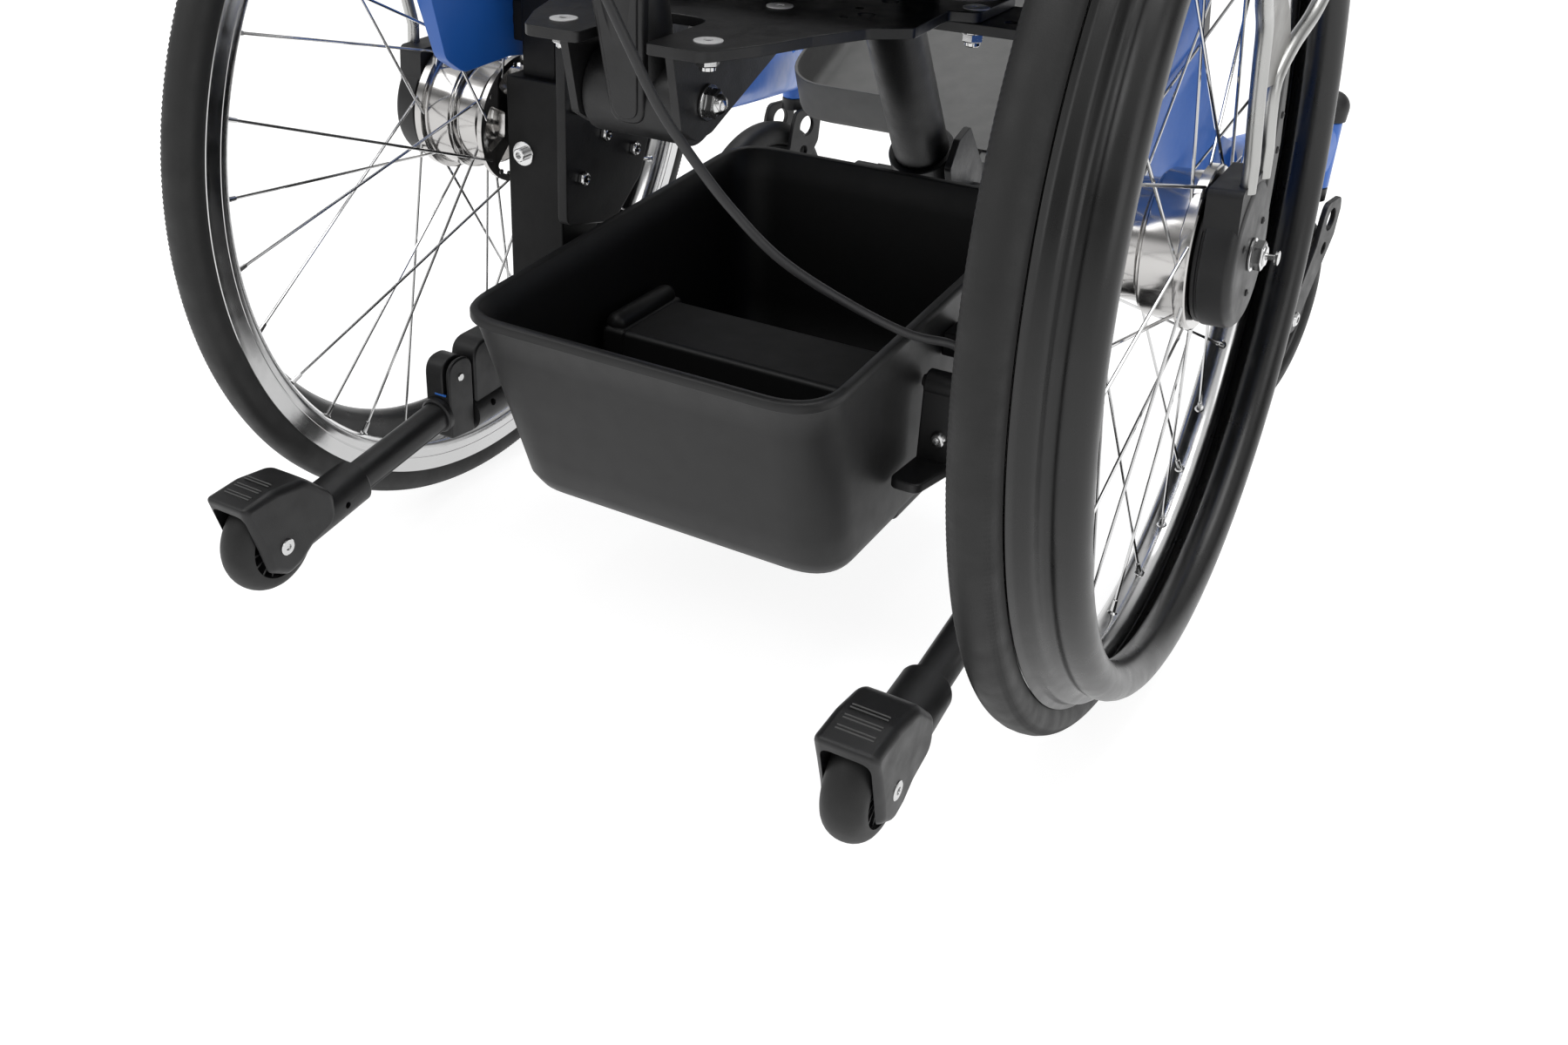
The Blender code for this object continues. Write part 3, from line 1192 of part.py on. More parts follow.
def tip_receiver():
    tube_part = rod((TIP_X, COLUMN_FRONT_Y - 0.006, 0.0965), (TIP_X, 0.0845, 0.0915), 0.0150, 14)
    latch = box((TIP_X - 0.0110, TIP_X + 0.0110), (COLUMN_REAR_Y + 0.0005, 0.0835), (0.0985, 0.1475), 0.004)
    tongue = box((TIP_X - 0.0045, TIP_X + 0.0045), (0.070, TIP_PIVOT_Y + 0.0065), (0.1200, 0.1350), 0.0025)
    root = box((TIP_X - 0.0110, COLUMN_OUTER_X - 0.001), (COLUMN_FRONT_Y + 0.002, COLUMN_REAR_Y - 0.002),
               (0.094, COLUMN_LOW - GAP))
    body = join(tube_part, latch, tongue, root)
    top = box((TIP_X - 0.03, TIP_X + 0.03), (COLUMN_FRONT_Y - 0.03, COLUMN_REAR_Y + 0.0005),
              (COLUMN_LOW - GAP, 0.2))
    body = cut(body, top)
    return cut(body, across(TIP_PIVOT_Y, TIP_PIVOT_Z, pin_bore + GAP, -0.05, 0.05),
               across(0.0675, 0.0965, 0.0026, -0.05, 0.0, 8))


def tip_arm():
    outline = rounded([
        (TIP_PIVOT_Y - 0.0132, 0.0800), (TIP_PIVOT_Y + 0.0130, 0.0830), (TIP_PIVOT_Y + 0.0130, 0.1430),
        (TIP_PIVOT_Y - 0.0132, 0.1430),
    ], [0.003, 0.003, 0.0125, 0.0125], 2)
    block = extrude(outline, "X", TIP_X - KNUCKLE_HALF, TIP_X + KNUCKLE_HALF, 0.0012)
    slot = box((TIP_X - 0.0050, TIP_X + 0.0050), (0.0, TIP_PIVOT_Y + 0.0085), (0.1165, 0.2))
    block = cut(block, slot)
    arm = rod(on_arm(0.104), on_arm(0.236), TIP_TUBE_RADIUS, 10, turn=math.pi / 10)
    ring = rod(on_arm(0.110), on_arm(0.1165), 0.0135, 12)
    block = join(block, arm, ring)
    return cut(block, across(TIP_PIVOT_Y, TIP_PIVOT_Z, pin_bore + GAP, -0.05, 0.05))


def tip_pin():
    return across(TIP_PIVOT_Y, TIP_PIVOT_Z, pin_bore, -KNUCKLE_HALF - 0.0010, KNUCKLE_HALF + 0.0010)


def tip_hood():
    neck = rod(on_arm(0.2030), on_arm(0.262), 0.0145, 12, 0.0165)
    outline = rounded([
        (0.238, 0.0990), (0.237, 0.0790), (0.260, 0.0705), (0.273, 0.0620), (0.2846, 0.0590),
        (0.3000, 0.0680), (0.3050, 0.0850), (0.3165, 0.1225), (0.2900, 0.1250), (0.2620, 0.1215),
    ], [0.01, 0.01, 0.01, 0.004, 0.008, 0.010, 0.01, 0.004, 0.02, 0.02], 1)
    middle = TIP_X + TIP_WHEEL_SHIFT
    body = extrude(outline, "X", middle - HOOD_HALF, middle + HOOD_HALF)
    body = join(neck, body)
    clear = TIP_WHEEL_RADIUS + 0.0030
    inner = TIP_WHEEL_WIDTH / 2 + 0.0010
    turn = [math.radians(a) for a in range(60, 181, 30)]
    space_outline = [(TIP_WHEEL_Y + clear * math.cos(a), TIP_WHEEL_Z + clear * math.sin(a)) for a in turn]
    space_outline += [(TIP_WHEEL_Y - clear, 0.0), (TIP_WHEEL_Y + 0.2, 0.0),
                      (TIP_WHEEL_Y + 0.2, TIP_WHEEL_Z + clear * math.sin(turn[0]))]
    space = extrude(space_outline, "X", middle - inner, middle + inner)
    hole = rod(on_arm(0.15), on_arm(0.2365), TIP_TUBE_RADIUS + GAP, 10, turn=math.pi / 10)
    pin_hole = across(collar_y, on_arm(collar_y).z, 0.0024, -0.03, -0.005, 8)
    body = cut(body, space, hole, pin_hole)
    start, end = TIP_WHEEL_SHIFT - HOOD_HALF, TIP_WHEEL_SHIFT + HOOD_HALF
    axle = across(TIP_WHEEL_Y, TIP_WHEEL_Z, 0.0036, start - 0.0004, end + 0.0004)
    head = across(TIP_WHEEL_Y, TIP_WHEEL_Z, 0.0056, start - 0.0012, start + 0.001, 14)
    return join(body, axle, head)


def tip_wheel():
    half, r = TIP_WHEEL_WIDTH / 2, TIP_WHEEL_RADIUS
    wheel = turned([
        (-half * 0.9, 0.0036 + GAP), (-half, r * 0.80), (-half * 0.45, r),
        (half * 0.45, r), (half, r * 0.80), (half * 0.9, 0.0036 + GAP),
    ], 20)
    return moved(wheel, (TIP_X + TIP_WHEEL_SHIFT, TIP_WHEEL_Y, TIP_WHEEL_Z))


for side, word in ((1, "left"), (-1, "right")):
    at = (side * TIP_X, TIP_PIVOT_Y, TIP_PIVOT_Z)
    place(f"tip_receiver_{word}", for_side(tip_receiver(), side), "black_plastic")
    place(f"tip_arm_{word}", for_side(tip_arm(), side), "black_plastic", origin=at)
    pin = tip_pin()
    if side < 0:
        pin.transform(Matrix.Translation((-2 * TIP_X, 0, 0)))
    place(f"tip_pin_{word}", pin, "rim_metal", origin=at)
    place(f"tip_hood_{word}", for_side(tip_hood(), side), "black_plastic",
          origin=(side * TIP_X, collar_y, on_arm(collar_y).z))
    place(f"tip_wheel_{word}", for_side(tip_wheel(), side), "tyre_rubber",
          origin=(side * (TIP_X + TIP_WHEEL_SHIFT), TIP_WHEEL_Y, TIP_WHEEL_Z))

# Foot pedal
pedal_pivot = Vector((0, PEDAL_PIVOT_Y, PEDAL_PIVOT_Z))
pedal_pin = 0.0040
bracket_x = (-COLUMN_INNER_X + GAP, -COLUMN_INNER_X + GAP + 0.003)


def pedal_bracket():
    plate = box(bracket_x, (0.0135, PEDAL_PIVOT_Y + 0.0105),
                (PEDAL_PIVOT_Z - 0.0135, PEDAL_PIVOT_Z + 0.0125), 0.001)
    pin = rod((bracket_x[0] + 0.001, PEDAL_PIVOT_Y, PEDAL_PIVOT_Z),
              (-PEDAL_INNER_X + 0.003, PEDAL_PIVOT_Y, PEDAL_PIVOT_Z), pedal_pin, 14)
    stop = box((bracket_x[0], bracket_x[1] + 0.0075), (PEDAL_PIVOT_Y - 0.010, PEDAL_PIVOT_Y + 0.004),
               (PEDAL_PIVOT_Z + 0.0105, PEDAL_PIVOT_Z + 0.0203), 0.001)
    return join(plate, pin, stop)


def foot_pedal():
    x = (-PEDAL_OUTER_X, -PEDAL_INNER_X)
    back = PEDAL_PIVOT_Y + 0.0075
    barrel = rod((x[0], PEDAL_PIVOT_Y, PEDAL_PIVOT_Z), (x[1], PEDAL_PIVOT_Y, PEDAL_PIVOT_Z), 0.0085, 14)
    plate = box(x, (back - 0.0045, back), (0.134, PEDAL_PIVOT_Z + 0.004), 0.0015)
    pad_outline = rounded([(x[0] + 0.002, back - 0.004), (x[1], back - 0.004), (x[1] + 0.003, back + 0.036),
                           (x[0] + 0.010, back + 0.036)], [0, 0, 0.007, 0.007], 2)
    pad = extrude(pad_outline, "Z", 0.1325, 0.1395, 0.0012)
    bolt_x = (x[0] + x[1]) / 2 - 0.001
    bolt = rod((bolt_x, back - 0.002, 0.156), (bolt_x, back + 0.005, 0.156), 0.0055, 10)
    body = join(barrel, plate, pad, bolt)
    bore = rod((-0.3, PEDAL_PIVOT_Y, PEDAL_PIVOT_Z), (0, PEDAL_PIVOT_Y, PEDAL_PIVOT_Z), pedal_pin + GAP, 14)
    return cut(body, bore)


place("pedal_bracket", pedal_bracket(), "black_powder")
place("foot_pedal", foot_pedal(), "black_powder", origin=pedal_pivot)

# Brake cable: it crosses from the post to the pedal, over the basket's rim
CABLE_END_X = BASKET_HALF_TOP + 0.0280
cable_points = [(share * CABLE_END_X, y, z) for share, y, z in (
    (0.026, 0.2620, 0.520), (-0.019, 0.2450, 0.480), (-0.078, 0.2330, 0.452), (-0.194, 0.2310, 0.4205),
    (-0.291, 0.2270, 0.3920), (-0.388, 0.2190, 0.3670), (-0.485, 0.2010, 0.3365), (-0.583, 0.1680, 0.3005),
    (-0.731, 0.1240, 0.2650), (-0.867, 0.0880, 0.2400), (-0.964, 0.0570, 0.2260), (-1.0, 0.0400, 0.2130),
)]
cable = tube(smooth_route(cable_points, 0.016), CABLE_RADIUS, 2, loose="brake_cable")
cable.parent = chair
cable.data.materials.append(paint("cable_sleeve"))
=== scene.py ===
"""Looks of the paediatric manual wheelchair: every visible piece, its material, the light and the camera.

Pieces are drawn in millimetres in the chair's own space, with the origin on the floor under the rear
axle. loft makes metres of them, and piece moves them by CHAIR_Y into the frame's space.
"""

import math

import bmesh
import bpy
from mathutils import Matrix, Vector


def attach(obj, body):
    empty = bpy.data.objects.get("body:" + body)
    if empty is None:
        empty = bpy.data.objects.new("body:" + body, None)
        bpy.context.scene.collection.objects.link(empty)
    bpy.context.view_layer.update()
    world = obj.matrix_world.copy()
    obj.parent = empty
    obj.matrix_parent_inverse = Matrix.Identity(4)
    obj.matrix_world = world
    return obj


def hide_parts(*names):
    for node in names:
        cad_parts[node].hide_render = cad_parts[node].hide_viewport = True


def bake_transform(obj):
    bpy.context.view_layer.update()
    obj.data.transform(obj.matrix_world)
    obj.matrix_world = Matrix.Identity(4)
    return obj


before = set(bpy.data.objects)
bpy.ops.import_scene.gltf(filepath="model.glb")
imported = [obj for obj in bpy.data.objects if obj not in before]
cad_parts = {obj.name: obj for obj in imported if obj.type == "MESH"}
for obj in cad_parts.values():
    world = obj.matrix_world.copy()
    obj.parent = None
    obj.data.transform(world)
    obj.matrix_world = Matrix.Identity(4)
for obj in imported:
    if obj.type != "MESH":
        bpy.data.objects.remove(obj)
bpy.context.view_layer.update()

CHAIR_Y = 84
TAU = math.tau
SIDES = ((1, "left"), (-1, "right"))

# Sizes shared by several pieces, the same as in the CAD source
CAMBER = 3
HUB = Vector((248, 0, 294.596))
SPOKES_PER_FLANGE, SPOKE_END = 16, 254.5
HANDRIM_RADIUS, HANDRIM_TUBE, HANDRIM_OFFSET = 253, 11.8, 33
HOUSING_IN, HOUSING_OUT, HOUSING_RADIUS = 27.5, 50, 43
ROD_PLANE, ROD_PLANE_TOP, ROD_RADIUS = 47.5, 58, 4.3
LOOP_TOP, LOOP_HALF, GRIP_HALF = 372, 128, 42.5
CASTER_X, CASTER_Y, CASTER_RADIUS, CASTER_HALF, CASTER_TRAIL = 254, -508, 87.5, 13, 40
CASTER_TURN = {1: -14, -1: -8}
CASTER_AXLE = Vector((CASTER_X, CASTER_Y + CASTER_TRAIL, CASTER_RADIUS))
STEM_LOW, STEM_HIGH = 194.5, 251.5
CROWN_LOW = STEM_LOW - 14.5
FORK_IN, FORK_OUT = 16, 20.5
SIDE_X, SIDE_THICK = 209.5, 16
COLUMN_IN, COLUMN_OUT, COLUMN_REAR_Y, COLUMN_FRONT_Y = 162, 209, 24, -20
DROPOUT_THICK = 8
DROPOUT_IN = COLUMN_IN - 0.3 - DROPOUT_THICK
PLATE_TOP, PLATE_LOW, BAR_LOW = 415, 409, 402.7
PLATE_SCREWS = [(45.6, 180), (34, 81), (127, 18)]
PIVOT = Vector((0, 162, 378))
GUSSET_IN, GUSSET_THICK = 30.5, 5
POST_LEAN, POST_LENGTH = 15, 455
POST_WAY = Vector((0, math.sin(math.radians(POST_LEAN)), math.cos(math.radians(POST_LEAN))))
POST_FOOT = PIVOT + Vector((0, 5, 0))
BACK_LOW, BACK_HIGH, BACK_HALF = 120, 440, 160
EAR_HEIGHTS = (BACK_LOW + 60, BACK_HIGH - 80)
LIFT_LOW, LIFT_HIGH = Vector((0, -252.5, 225)), Vector((0, -126.5, PLATE_LOW))
LIFT_WAY = (LIFT_HIGH - LIFT_LOW).normalized()
TRAY_PIVOT, TRAY_TILT = Vector((0, -411, 188)), 24
TIP_X = 211.5
TIP_PIVOT = Vector((TIP_X, 99.5, 128.5))
TIP_WHEEL = Vector((TIP_X + 1.5, 285, 82))
TIP_RADIUS, TIP_HALF, HOOD_HALF = 34.5, 13, 18.2
TIP_FALL = math.tan(math.radians(8))
PEDAL_PIVOT = Vector((0, 40, 190))

# Camera, fitted to the photo's wheels
CAMERA_AT = Vector((-0.4368, 0.9329, 0.5883))
YAW, PITCH, ROLL = 3.6961, -0.4941, -0.0169
camera = bpy.data.objects.new("camera", bpy.data.cameras.new("camera"))
bpy.context.scene.collection.objects.link(camera)
camera.matrix_world = (
    Matrix.Translation(CAMERA_AT) @ Matrix.Rotation(YAW, 4, "Z") @ Matrix.Rotation(PITCH, 4, "X")
    @ Matrix.Rotation(ROLL, 4, "Y") @ Matrix.Rotation(math.pi / 2, 4, "X")
)
camera.data.sensor_width = 36
camera.data.lens = 34.158
camera.data.shift_x = 0.0771
camera.data.shift_y = -0.0408
camera.data.clip_start = 0.02
bpy.context.scene.camera = camera
bpy.context.scene.view_settings.view_transform = "Standard"


# Materials
def ramp(nodes, low, high, first, second):
    node = nodes.new("ShaderNodeMapRange")
    for name, value in (("From Min", low), ("From Max", high), ("To Min", first), ("To Max", second)):
        node.inputs[name].default_value = value
    return node


def look(name, colour, roughness, metallic=0.0, grain=900.0, bump=0.02, mottle=0.12, wear=0.0,
         stretch=None, spread=0.08, specular=0.5, coat=0.0, sheen=0.0, weave=False):
    """A procedural material: fine grain in the bump, drifting colour and gloss, lighter worn edges.

    One number as the colour is a grey. stretch draws the grain out along the UV map.
    """
    colour = colour if isinstance(colour, tuple) else (colour,) * 3
    made = bpy.data.materials.new(name + "_look")
    made.use_nodes = True
    nodes, links = made.node_tree.nodes, made.node_tree.links
    shader = nodes["Principled BSDF"]
    for socket, value in (("Metallic", metallic), ("Specular IOR Level", specular), ("Coat Weight", coat),
                          ("Coat Roughness", 0.15), ("Sheen Weight", sheen), ("Sheen Roughness", 0.5)):
        shader.inputs[socket].default_value = value
    spot = nodes.new("ShaderNodeTexCoord")
    mapping = nodes.new("ShaderNodeMapping")
    mapping.inputs["Scale"].default_value = stretch or (1, 1, 1)
    links.new(spot.outputs["UV" if stretch else "Object"], mapping.inputs["Vector"])

    def noise(scale, detail, vector):
        node = nodes.new("ShaderNodeTexNoise")
        node.inputs["Scale"].default_value = scale
        node.inputs["Detail"].default_value = detail
        links.new(vector, node.inputs["Vector"])
        return node.outputs["Fac"]

    height = noise(grain, 3.0, mapping.outputs["Vector"])
    broad = noise(11.0, 2.0, spot.outputs["Object"])
    middle = noise(70.0, 3.0, spot.outputs["Object"])

    shade = ramp(nodes, 0.3, 0.7, 1 - mottle, 1 + mottle)
    links.new(broad, shade.inputs["Value"])
    tint = nodes.new("ShaderNodeVectorMath")
    tint.operation = "SCALE"
    tint.inputs[0].default_value = colour
    links.new(shade.outputs["Result"], tint.inputs["Scale"])
    out = tint.outputs["Vector"]
    if wear:
        geometry = nodes.new("ShaderNodeNewGeometry")
        edge = ramp(nodes, 0.52, 0.62, 0.0, wear)
        links.new(geometry.outputs["Pointiness"], edge.inputs["Value"])
        lighter = nodes.new("ShaderNodeMix")
        lighter.data_type = "RGBA"
        lighter.inputs["B"].default_value = (*[min(1, c * 2.5 + 0.03) for c in colour], 1)
        links.new(edge.outputs["Result"], lighter.inputs["Factor"])
        links.new(out, lighter.inputs["A"])
        out = lighter.outputs["Result"]
    links.new(out, shader.inputs["Base Color"])

    gloss = ramp(nodes, 0.25, 0.75, max(0.02, roughness - spread), min(1, roughness + spread))
    links.new(middle, gloss.inputs["Value"])
    links.new(gloss.outputs["Result"], shader.inputs["Roughness"])

    if weave:
        crossed = nodes.new("ShaderNodeMath")
        crossed.operation = "MULTIPLY"
        for i, way in enumerate(("X", "DIAGONAL")):
            wave = nodes.new("ShaderNodeTexWave")
            wave.bands_direction = way
            wave.inputs["Scale"].default_value = 260
            wave.inputs["Distortion"].default_value = 0.4
            links.new(mapping.outputs["Vector"], wave.inputs["Vector"])
            links.new(wave.outputs["Fac"], crossed.inputs[i])
        added = nodes.new("ShaderNodeMath")
        links.new(crossed.outputs["Value"], added.inputs[0])
        links.new(height, added.inputs[1])
        height = added.outputs["Value"]
    relief = nodes.new("ShaderNodeBump")
    relief.inputs["Strength"].default_value = bump
    relief.inputs["Distance"].default_value = 0.0006
    links.new(height, relief.inputs["Height"])
    links.new(relief.outputs["Normal"], shader.inputs["Normal"])
    return made


LOOK = {name: look(name, colour, roughness, **options) for name, colour, roughness, options in (
    ("black_powder", (0.0060, 0.0060, 0.0065), 0.44,
     dict(grain=700, bump=0.15, wear=0.15, mottle=0.08, specular=0.42)),
    ("black_plastic", (0.0065, 0.0065, 0.0070), 0.46,
     dict(grain=1500, bump=0.14, wear=0.12, mottle=0.08, specular=0.42)),
    ("basket_plastic", (0.0062, 0.0062, 0.0064), 0.48,
     dict(grain=1100, bump=0.08, wear=0.08, mottle=0.04, spread=0.03, specular=0.40)),
    ("tyre_rubber", 0.0065, 0.58, dict(grain=1400, bump=0.14, mottle=0.08, specular=0.42)),
    ("rim_metal", 0.60, 0.20,
     dict(metallic=1.0, grain=40, bump=0.006, mottle=0.04, stretch=(3, 60, 1), spread=0.06)),
    ("bright_metal", (0.50, 0.49, 0.48), 0.15,
     dict(metallic=1.0, grain=40, bump=0.006, mottle=0.05, stretch=(2, 50, 1), spread=0.05)),
    ("chrome", 0.62, 0.16, dict(metallic=1.0, grain=600, bump=0.01, mottle=0.04, spread=0.04)),
    ("rod_metal", (0.42, 0.42, 0.41), 0.30, dict(metallic=1.0, grain=500, bump=0.01, mottle=0.04, spread=0.06)),
    ("blue_paint", (0.014, 0.118, 0.480), 0.38, dict(bump=0.06, mottle=0.04, wear=0.10, coat=0.2)),
    ("tray_plastic", (0.070, 0.070, 0.069), 0.62, dict(grain=1300, bump=0.20, mottle=0.05)),
    ("cable_sleeve", (0.016, 0.016, 0.017), 0.50, dict(grain=1800, bump=0.10)),
    ("fabric", (0.022, 0.022, 0.024), 0.88,
     dict(grain=1500, bump=0.9, mottle=0.18, spread=0.06, sheen=0.25, weave=True)),
    ("grip_rubber", 0.0050, 0.30, dict(grain=1700, bump=0.06, mottle=0.06, spread=0.05, specular=0.45)),
)}
PIPING = look("piping", (0.030, 0.030, 0.033), 0.7, grain=2200, bump=0.6, sheen=0.2)
THREAD = look("thread", (0.060, 0.060, 0.065), 0.7, grain=2600, bump=0.5)
# A darker, less glossy copy of black_powder for the axle columns: painted shade on their camera-facing sides
COLUMN_PAINTED_SHADE = look("column", (0.0045, 0.0045, 0.0048), 0.50, grain=700, bump=0.12, wear=0.12, mottle=0.08, specular=0.22)
# Plate screws: a much lighter, less metallic steel, painted light that brightens them where the seat shell shades them
STEEL_PAINTED_LIGHT = look("steel_painted_light", 0.80, 0.36, 0.20, grain=600, mottle=0.05)
WEB = look("web", (0.20, 0.195, 0.185), 0.34, 1.0, grain=500, mottle=0.06)
FLOOR = look("floor", 0.30, 0.85, grain=30, bump=0.01, mottle=0.01, spread=0.03, specular=0.2)


# Shapes
def shift(place):
    """The move to a place in millimetres."""
    return Matrix.Translation([value / 1000 for value in place])


def placed(shape, at=(0, 0, 0), turn=0, axis="Z"):
    """Turns a shape by degrees about an axis through the origin, then moves it."""
    shape.transform(shift(at) @ Matrix.Rotation(math.radians(turn), 4, axis))
    return shape


def turned_about(shape, about, turn, axis="X"):
    shape.transform(shift(about) @ Matrix.Rotation(math.radians(turn), 4, axis) @ shift(-Vector(about)))
    return shape


def aimed(shape, at, way):
    """Moves a shape that is drawn along X, and aims it along a direction."""
    shape.transform(shift(at) @ Vector(way).to_track_quat("X", "Z").to_matrix().to_4x4())
    return shape


def face_out(shape):
    bmesh.ops.recalc_face_normals(shape, faces=shape.faces)
    if shape.calc_volume(signed=True) < 0:
        bmesh.ops.reverse_faces(shape, faces=shape.faces)
    return shape


def loft(rings, around=False):
    """Skins rings of points that have the same count; around joins the last ring to the first."""
    shape = bmesh.new()
    uv = shape.loops.layers.uv.verify()
    rows = [[shape.verts.new([value / 1000 for value in p]) for p in ring] for ring in rings]
    count, length = len(rings[0]), [0.0]
    for k in range(count):
        length.append(length[-1] + (Vector(rings[0][(k + 1) % count]) - Vector(rings[0][k])).length / 1000)
    pairs = list(zip(rows, rows[1:] + (rows[:1] if around else [])))
    for i, (low, high) in enumerate(pairs):
        for k in range(count):
            n = (k + 1) % count
            face = shape.faces.new((low[k], low[n], high[n], high[k]))
            spots = ((i, k), (i, k + 1), (i + 1, k + 1), (i + 1, k))
            for loop, (a, b) in zip(face.loops, spots):
                loop[uv].uv = (a / len(pairs), length[b])
    if not around:
        shape.faces.new(rows[0][::-1])
        shape.faces.new(rows[-1])
    return face_out(shape)


def circle(count, power=2.0):
    """Points round a circle of radius 1, or round a square with softer corners for a higher power."""
    points = []
    for k in range(count):
        c, s = math.cos(k * TAU / count), math.sin(k * TAU / count)
        grow = (abs(c) ** power + abs(s) ** power) ** (-1 / power)
        points.append((grow * c, grow * s))
    return points


def arc(centre, size, degrees):
    """Points of an ellipse about a centre, at angles from its first axis."""
    return [(centre[0] + size[0] * math.cos(a), centre[1] + size[1] * math.sin(a))
            for a in map(math.radians, degrees)]


def both(half, *middle):
    """Half an outline, the points between, and the half mirrored in X back again."""
    return [*half, *middle, *[(-p[0], *p[1:]) for p in reversed(half)]]


def scaled(points, across, up):
    return [(a * across, b * up) for a, b in points]


def turned(profile, steps=96, ripple=None):
    """A closed (along X, radius) profile turned about X. ripple lowers a point on every other step."""
    rings = []
    for i, (c, s) in enumerate(circle(steps)):
        lowered = ripple if ripple and i % 2 else {}
        spots = [(x, r - lowered.get(k, 0)) for k, (x, r) in enumerate(profile)]
        rings.append([(x, r * s, r * c) for x, r in spots])
    return loft(rings, around=True)


def stacked(spots, way, sides):
    """Skins circles, given as centres and radii in a row, square to a direction."""
    side = way.orthogonal().normalized()
    up = way.cross(side)
    return loft([[p + (side * c + up * s) * r for c, s in circle(sides)] for p, r in spots])


def rod(start, end, radius, sides=32, end_radius=None, chamfer=0.0):
    """A round bar between two points, tapered or with chamfered ends if asked."""
    start, end = Vector(start), Vector(end)
    way = (end - start).normalized()
    last = radius if end_radius is None else end_radius
    spots = [(start, radius - chamfer), (end, last - chamfer)]
    if chamfer:
        spots[1:1] = [(start + way * chamfer, radius), (end - way * chamfer, last)]
    return stacked(spots, way, sides)


def along_x(low, high, at, radius, sides=32, **options):
    """A rod along X through the Y and Z of a place."""
    return rod((low, at[-2], at[-1]), (high, at[-2], at[-1]), radius, sides, **options)


def nut(centre, way, radius, depth):
    """A hexagon nut with chamfered corners, from its centre along a direction."""
    way = Vector(way).normalized()
    return stacked([(Vector(centre) + way * depth * share, radius * size)
                    for share, size in ((0, 0.86), (0.14, 1.0), (0.86, 1.0), (1.0, 0.86))], way, 6)


def screw(centre, way, radius, height):
    """A button head with a socket, standing on a surface."""
    hole = radius * 0.42
    return aimed(turned([
        (-0.4, radius), (height * 0.45, radius), (height * 0.9, radius * 0.80), (height, radius * 0.62),
        (height, hole), (height * 0.35, hole * 0.95), (height * 0.30, 0.1), (-0.4, 0.1),
    ], 24), centre, way)


def grooves(first, last, count, radius, depth, wide, narrow):
    """Profile points of evenly spaced grooves round a grip."""
    points = []
    for k in range(count):
        at = first + k * (last - first) / (count - 1)
        points += [(at - wide, radius), (at - narrow, radius - depth), (at + narrow, radius - depth),
                   (at + wide, radius)]
    return points


def smooth_route(points, step):
    """Points about one step apart on a smooth curve through the given points."""
    points = [Vector(p) for p in points]
    ends = [2 * points[0] - points[1]] + points + [2 * points[-1] - points[-2]]
    route = []
    for a, b, c, d in zip(ends, ends[1:], ends[2:], ends[3:]):
        count = max(1, round((c - b).length / step))
        for i in range(count):
            t = i / count
            route.append(0.5 * (2 * b + (c - a) * t + (2 * a - 5 * b + 4 * c - d) * t * t
                                + (3 * b - a - 3 * c + d) * t * t * t))
    return route + [points[-1]]


def sweep(points, width, height=None, sides=20, up=(0, 0, 1), power=2.0, around=False, end_scale=1.0):
    """A tube of round or oval section along a route."""
    height = height or width
    rings = []
    last = len(points) - 1
    for i, point in enumerate(points):
        ahead = points[(i + 1) % len(points)] if around else points[min(i + 1, last)]
        behind = points[i - 1] if around else points[max(i - 1, 0)]
        way = (ahead - behind).normalized()
        side = Vector(up).cross(way).normalized()
        top = way.cross(side)
        scale = 1 + (end_scale - 1) * i / last
        rings.append([point + side * (width * scale * c) + top * (height * s) for c, s in circle(sides, power)])
    return loft(rings, around)


def rounded(outline, radius, steps=8):
    """A closed outline with its corners rounded. A radius may be one value or one per corner."""
    made = []
    count = len(outline)
    for i, corner in enumerate(outline):
        size = radius[i] if isinstance(radius, list) else radius
        here = Vector(corner)
        before = Vector(outline[i - 1]) - here
        after = Vector(outline[(i + 1) % count]) - here
        half = before.angle(after) / 2
        back = min(size / math.tan(half), 0.49 * before.length, 0.49 * after.length)
        if size <= 0 or back < 0.001:
            made.append(tuple(here))
            continue
        start = here + before.normalized() * back
        end = here + after.normalized() * back
        for k in range(steps + 1):
            t = k / steps
            made.append(tuple((1 - t) ** 2 * start + 2 * t * (1 - t) * here + t * t * end))
    return made


def extrude(outline, axis, low, high):
    """A flat outline of 2-D points, extruded along X, Y or Z."""
    spot = {"X": lambda a, b, d: (d, a, b), "Y": lambda a, b, d: (a, d, b), "Z": lambda a, b, d: (a, b, d)}[axis]
    return loft([[spot(a, b, d) for a, b in outline] for d in (low, high)])


def block(x, y, z):
    return extrude([(x[0], y[0]), (x[1], y[0]), (x[1], y[1]), (x[0], y[1])], "Z", *z)


def as_mesh(name, shape):
    """A mesh of a shape, which is used up."""
    mesh = bpy.data.meshes.new(name)
    shape.to_mesh(mesh)
    shape.free()
    return mesh


def as_object(name, shape):
    obj = bpy.data.objects.new(name, as_mesh(name, shape))
    bpy.context.scene.collection.objects.link(obj)
    return obj


def applied(obj):
    """The object's mesh with its modifiers applied, which are then removed."""
    bpy.context.view_layer.update()
    graph = bpy.context.evaluated_depsgraph_get()
    mesh = bpy.data.meshes.new_from_object(obj.evaluated_get(graph), depsgraph=graph)
    obj.modifiers.clear()
    return mesh


def gathered(shapes):
    """Several shapes in one."""
    made = bmesh.new()
    for shape in shapes:
        mesh = as_mesh("step", shape)
        made.from_mesh(mesh)
        bpy.data.meshes.remove(mesh)
    return made


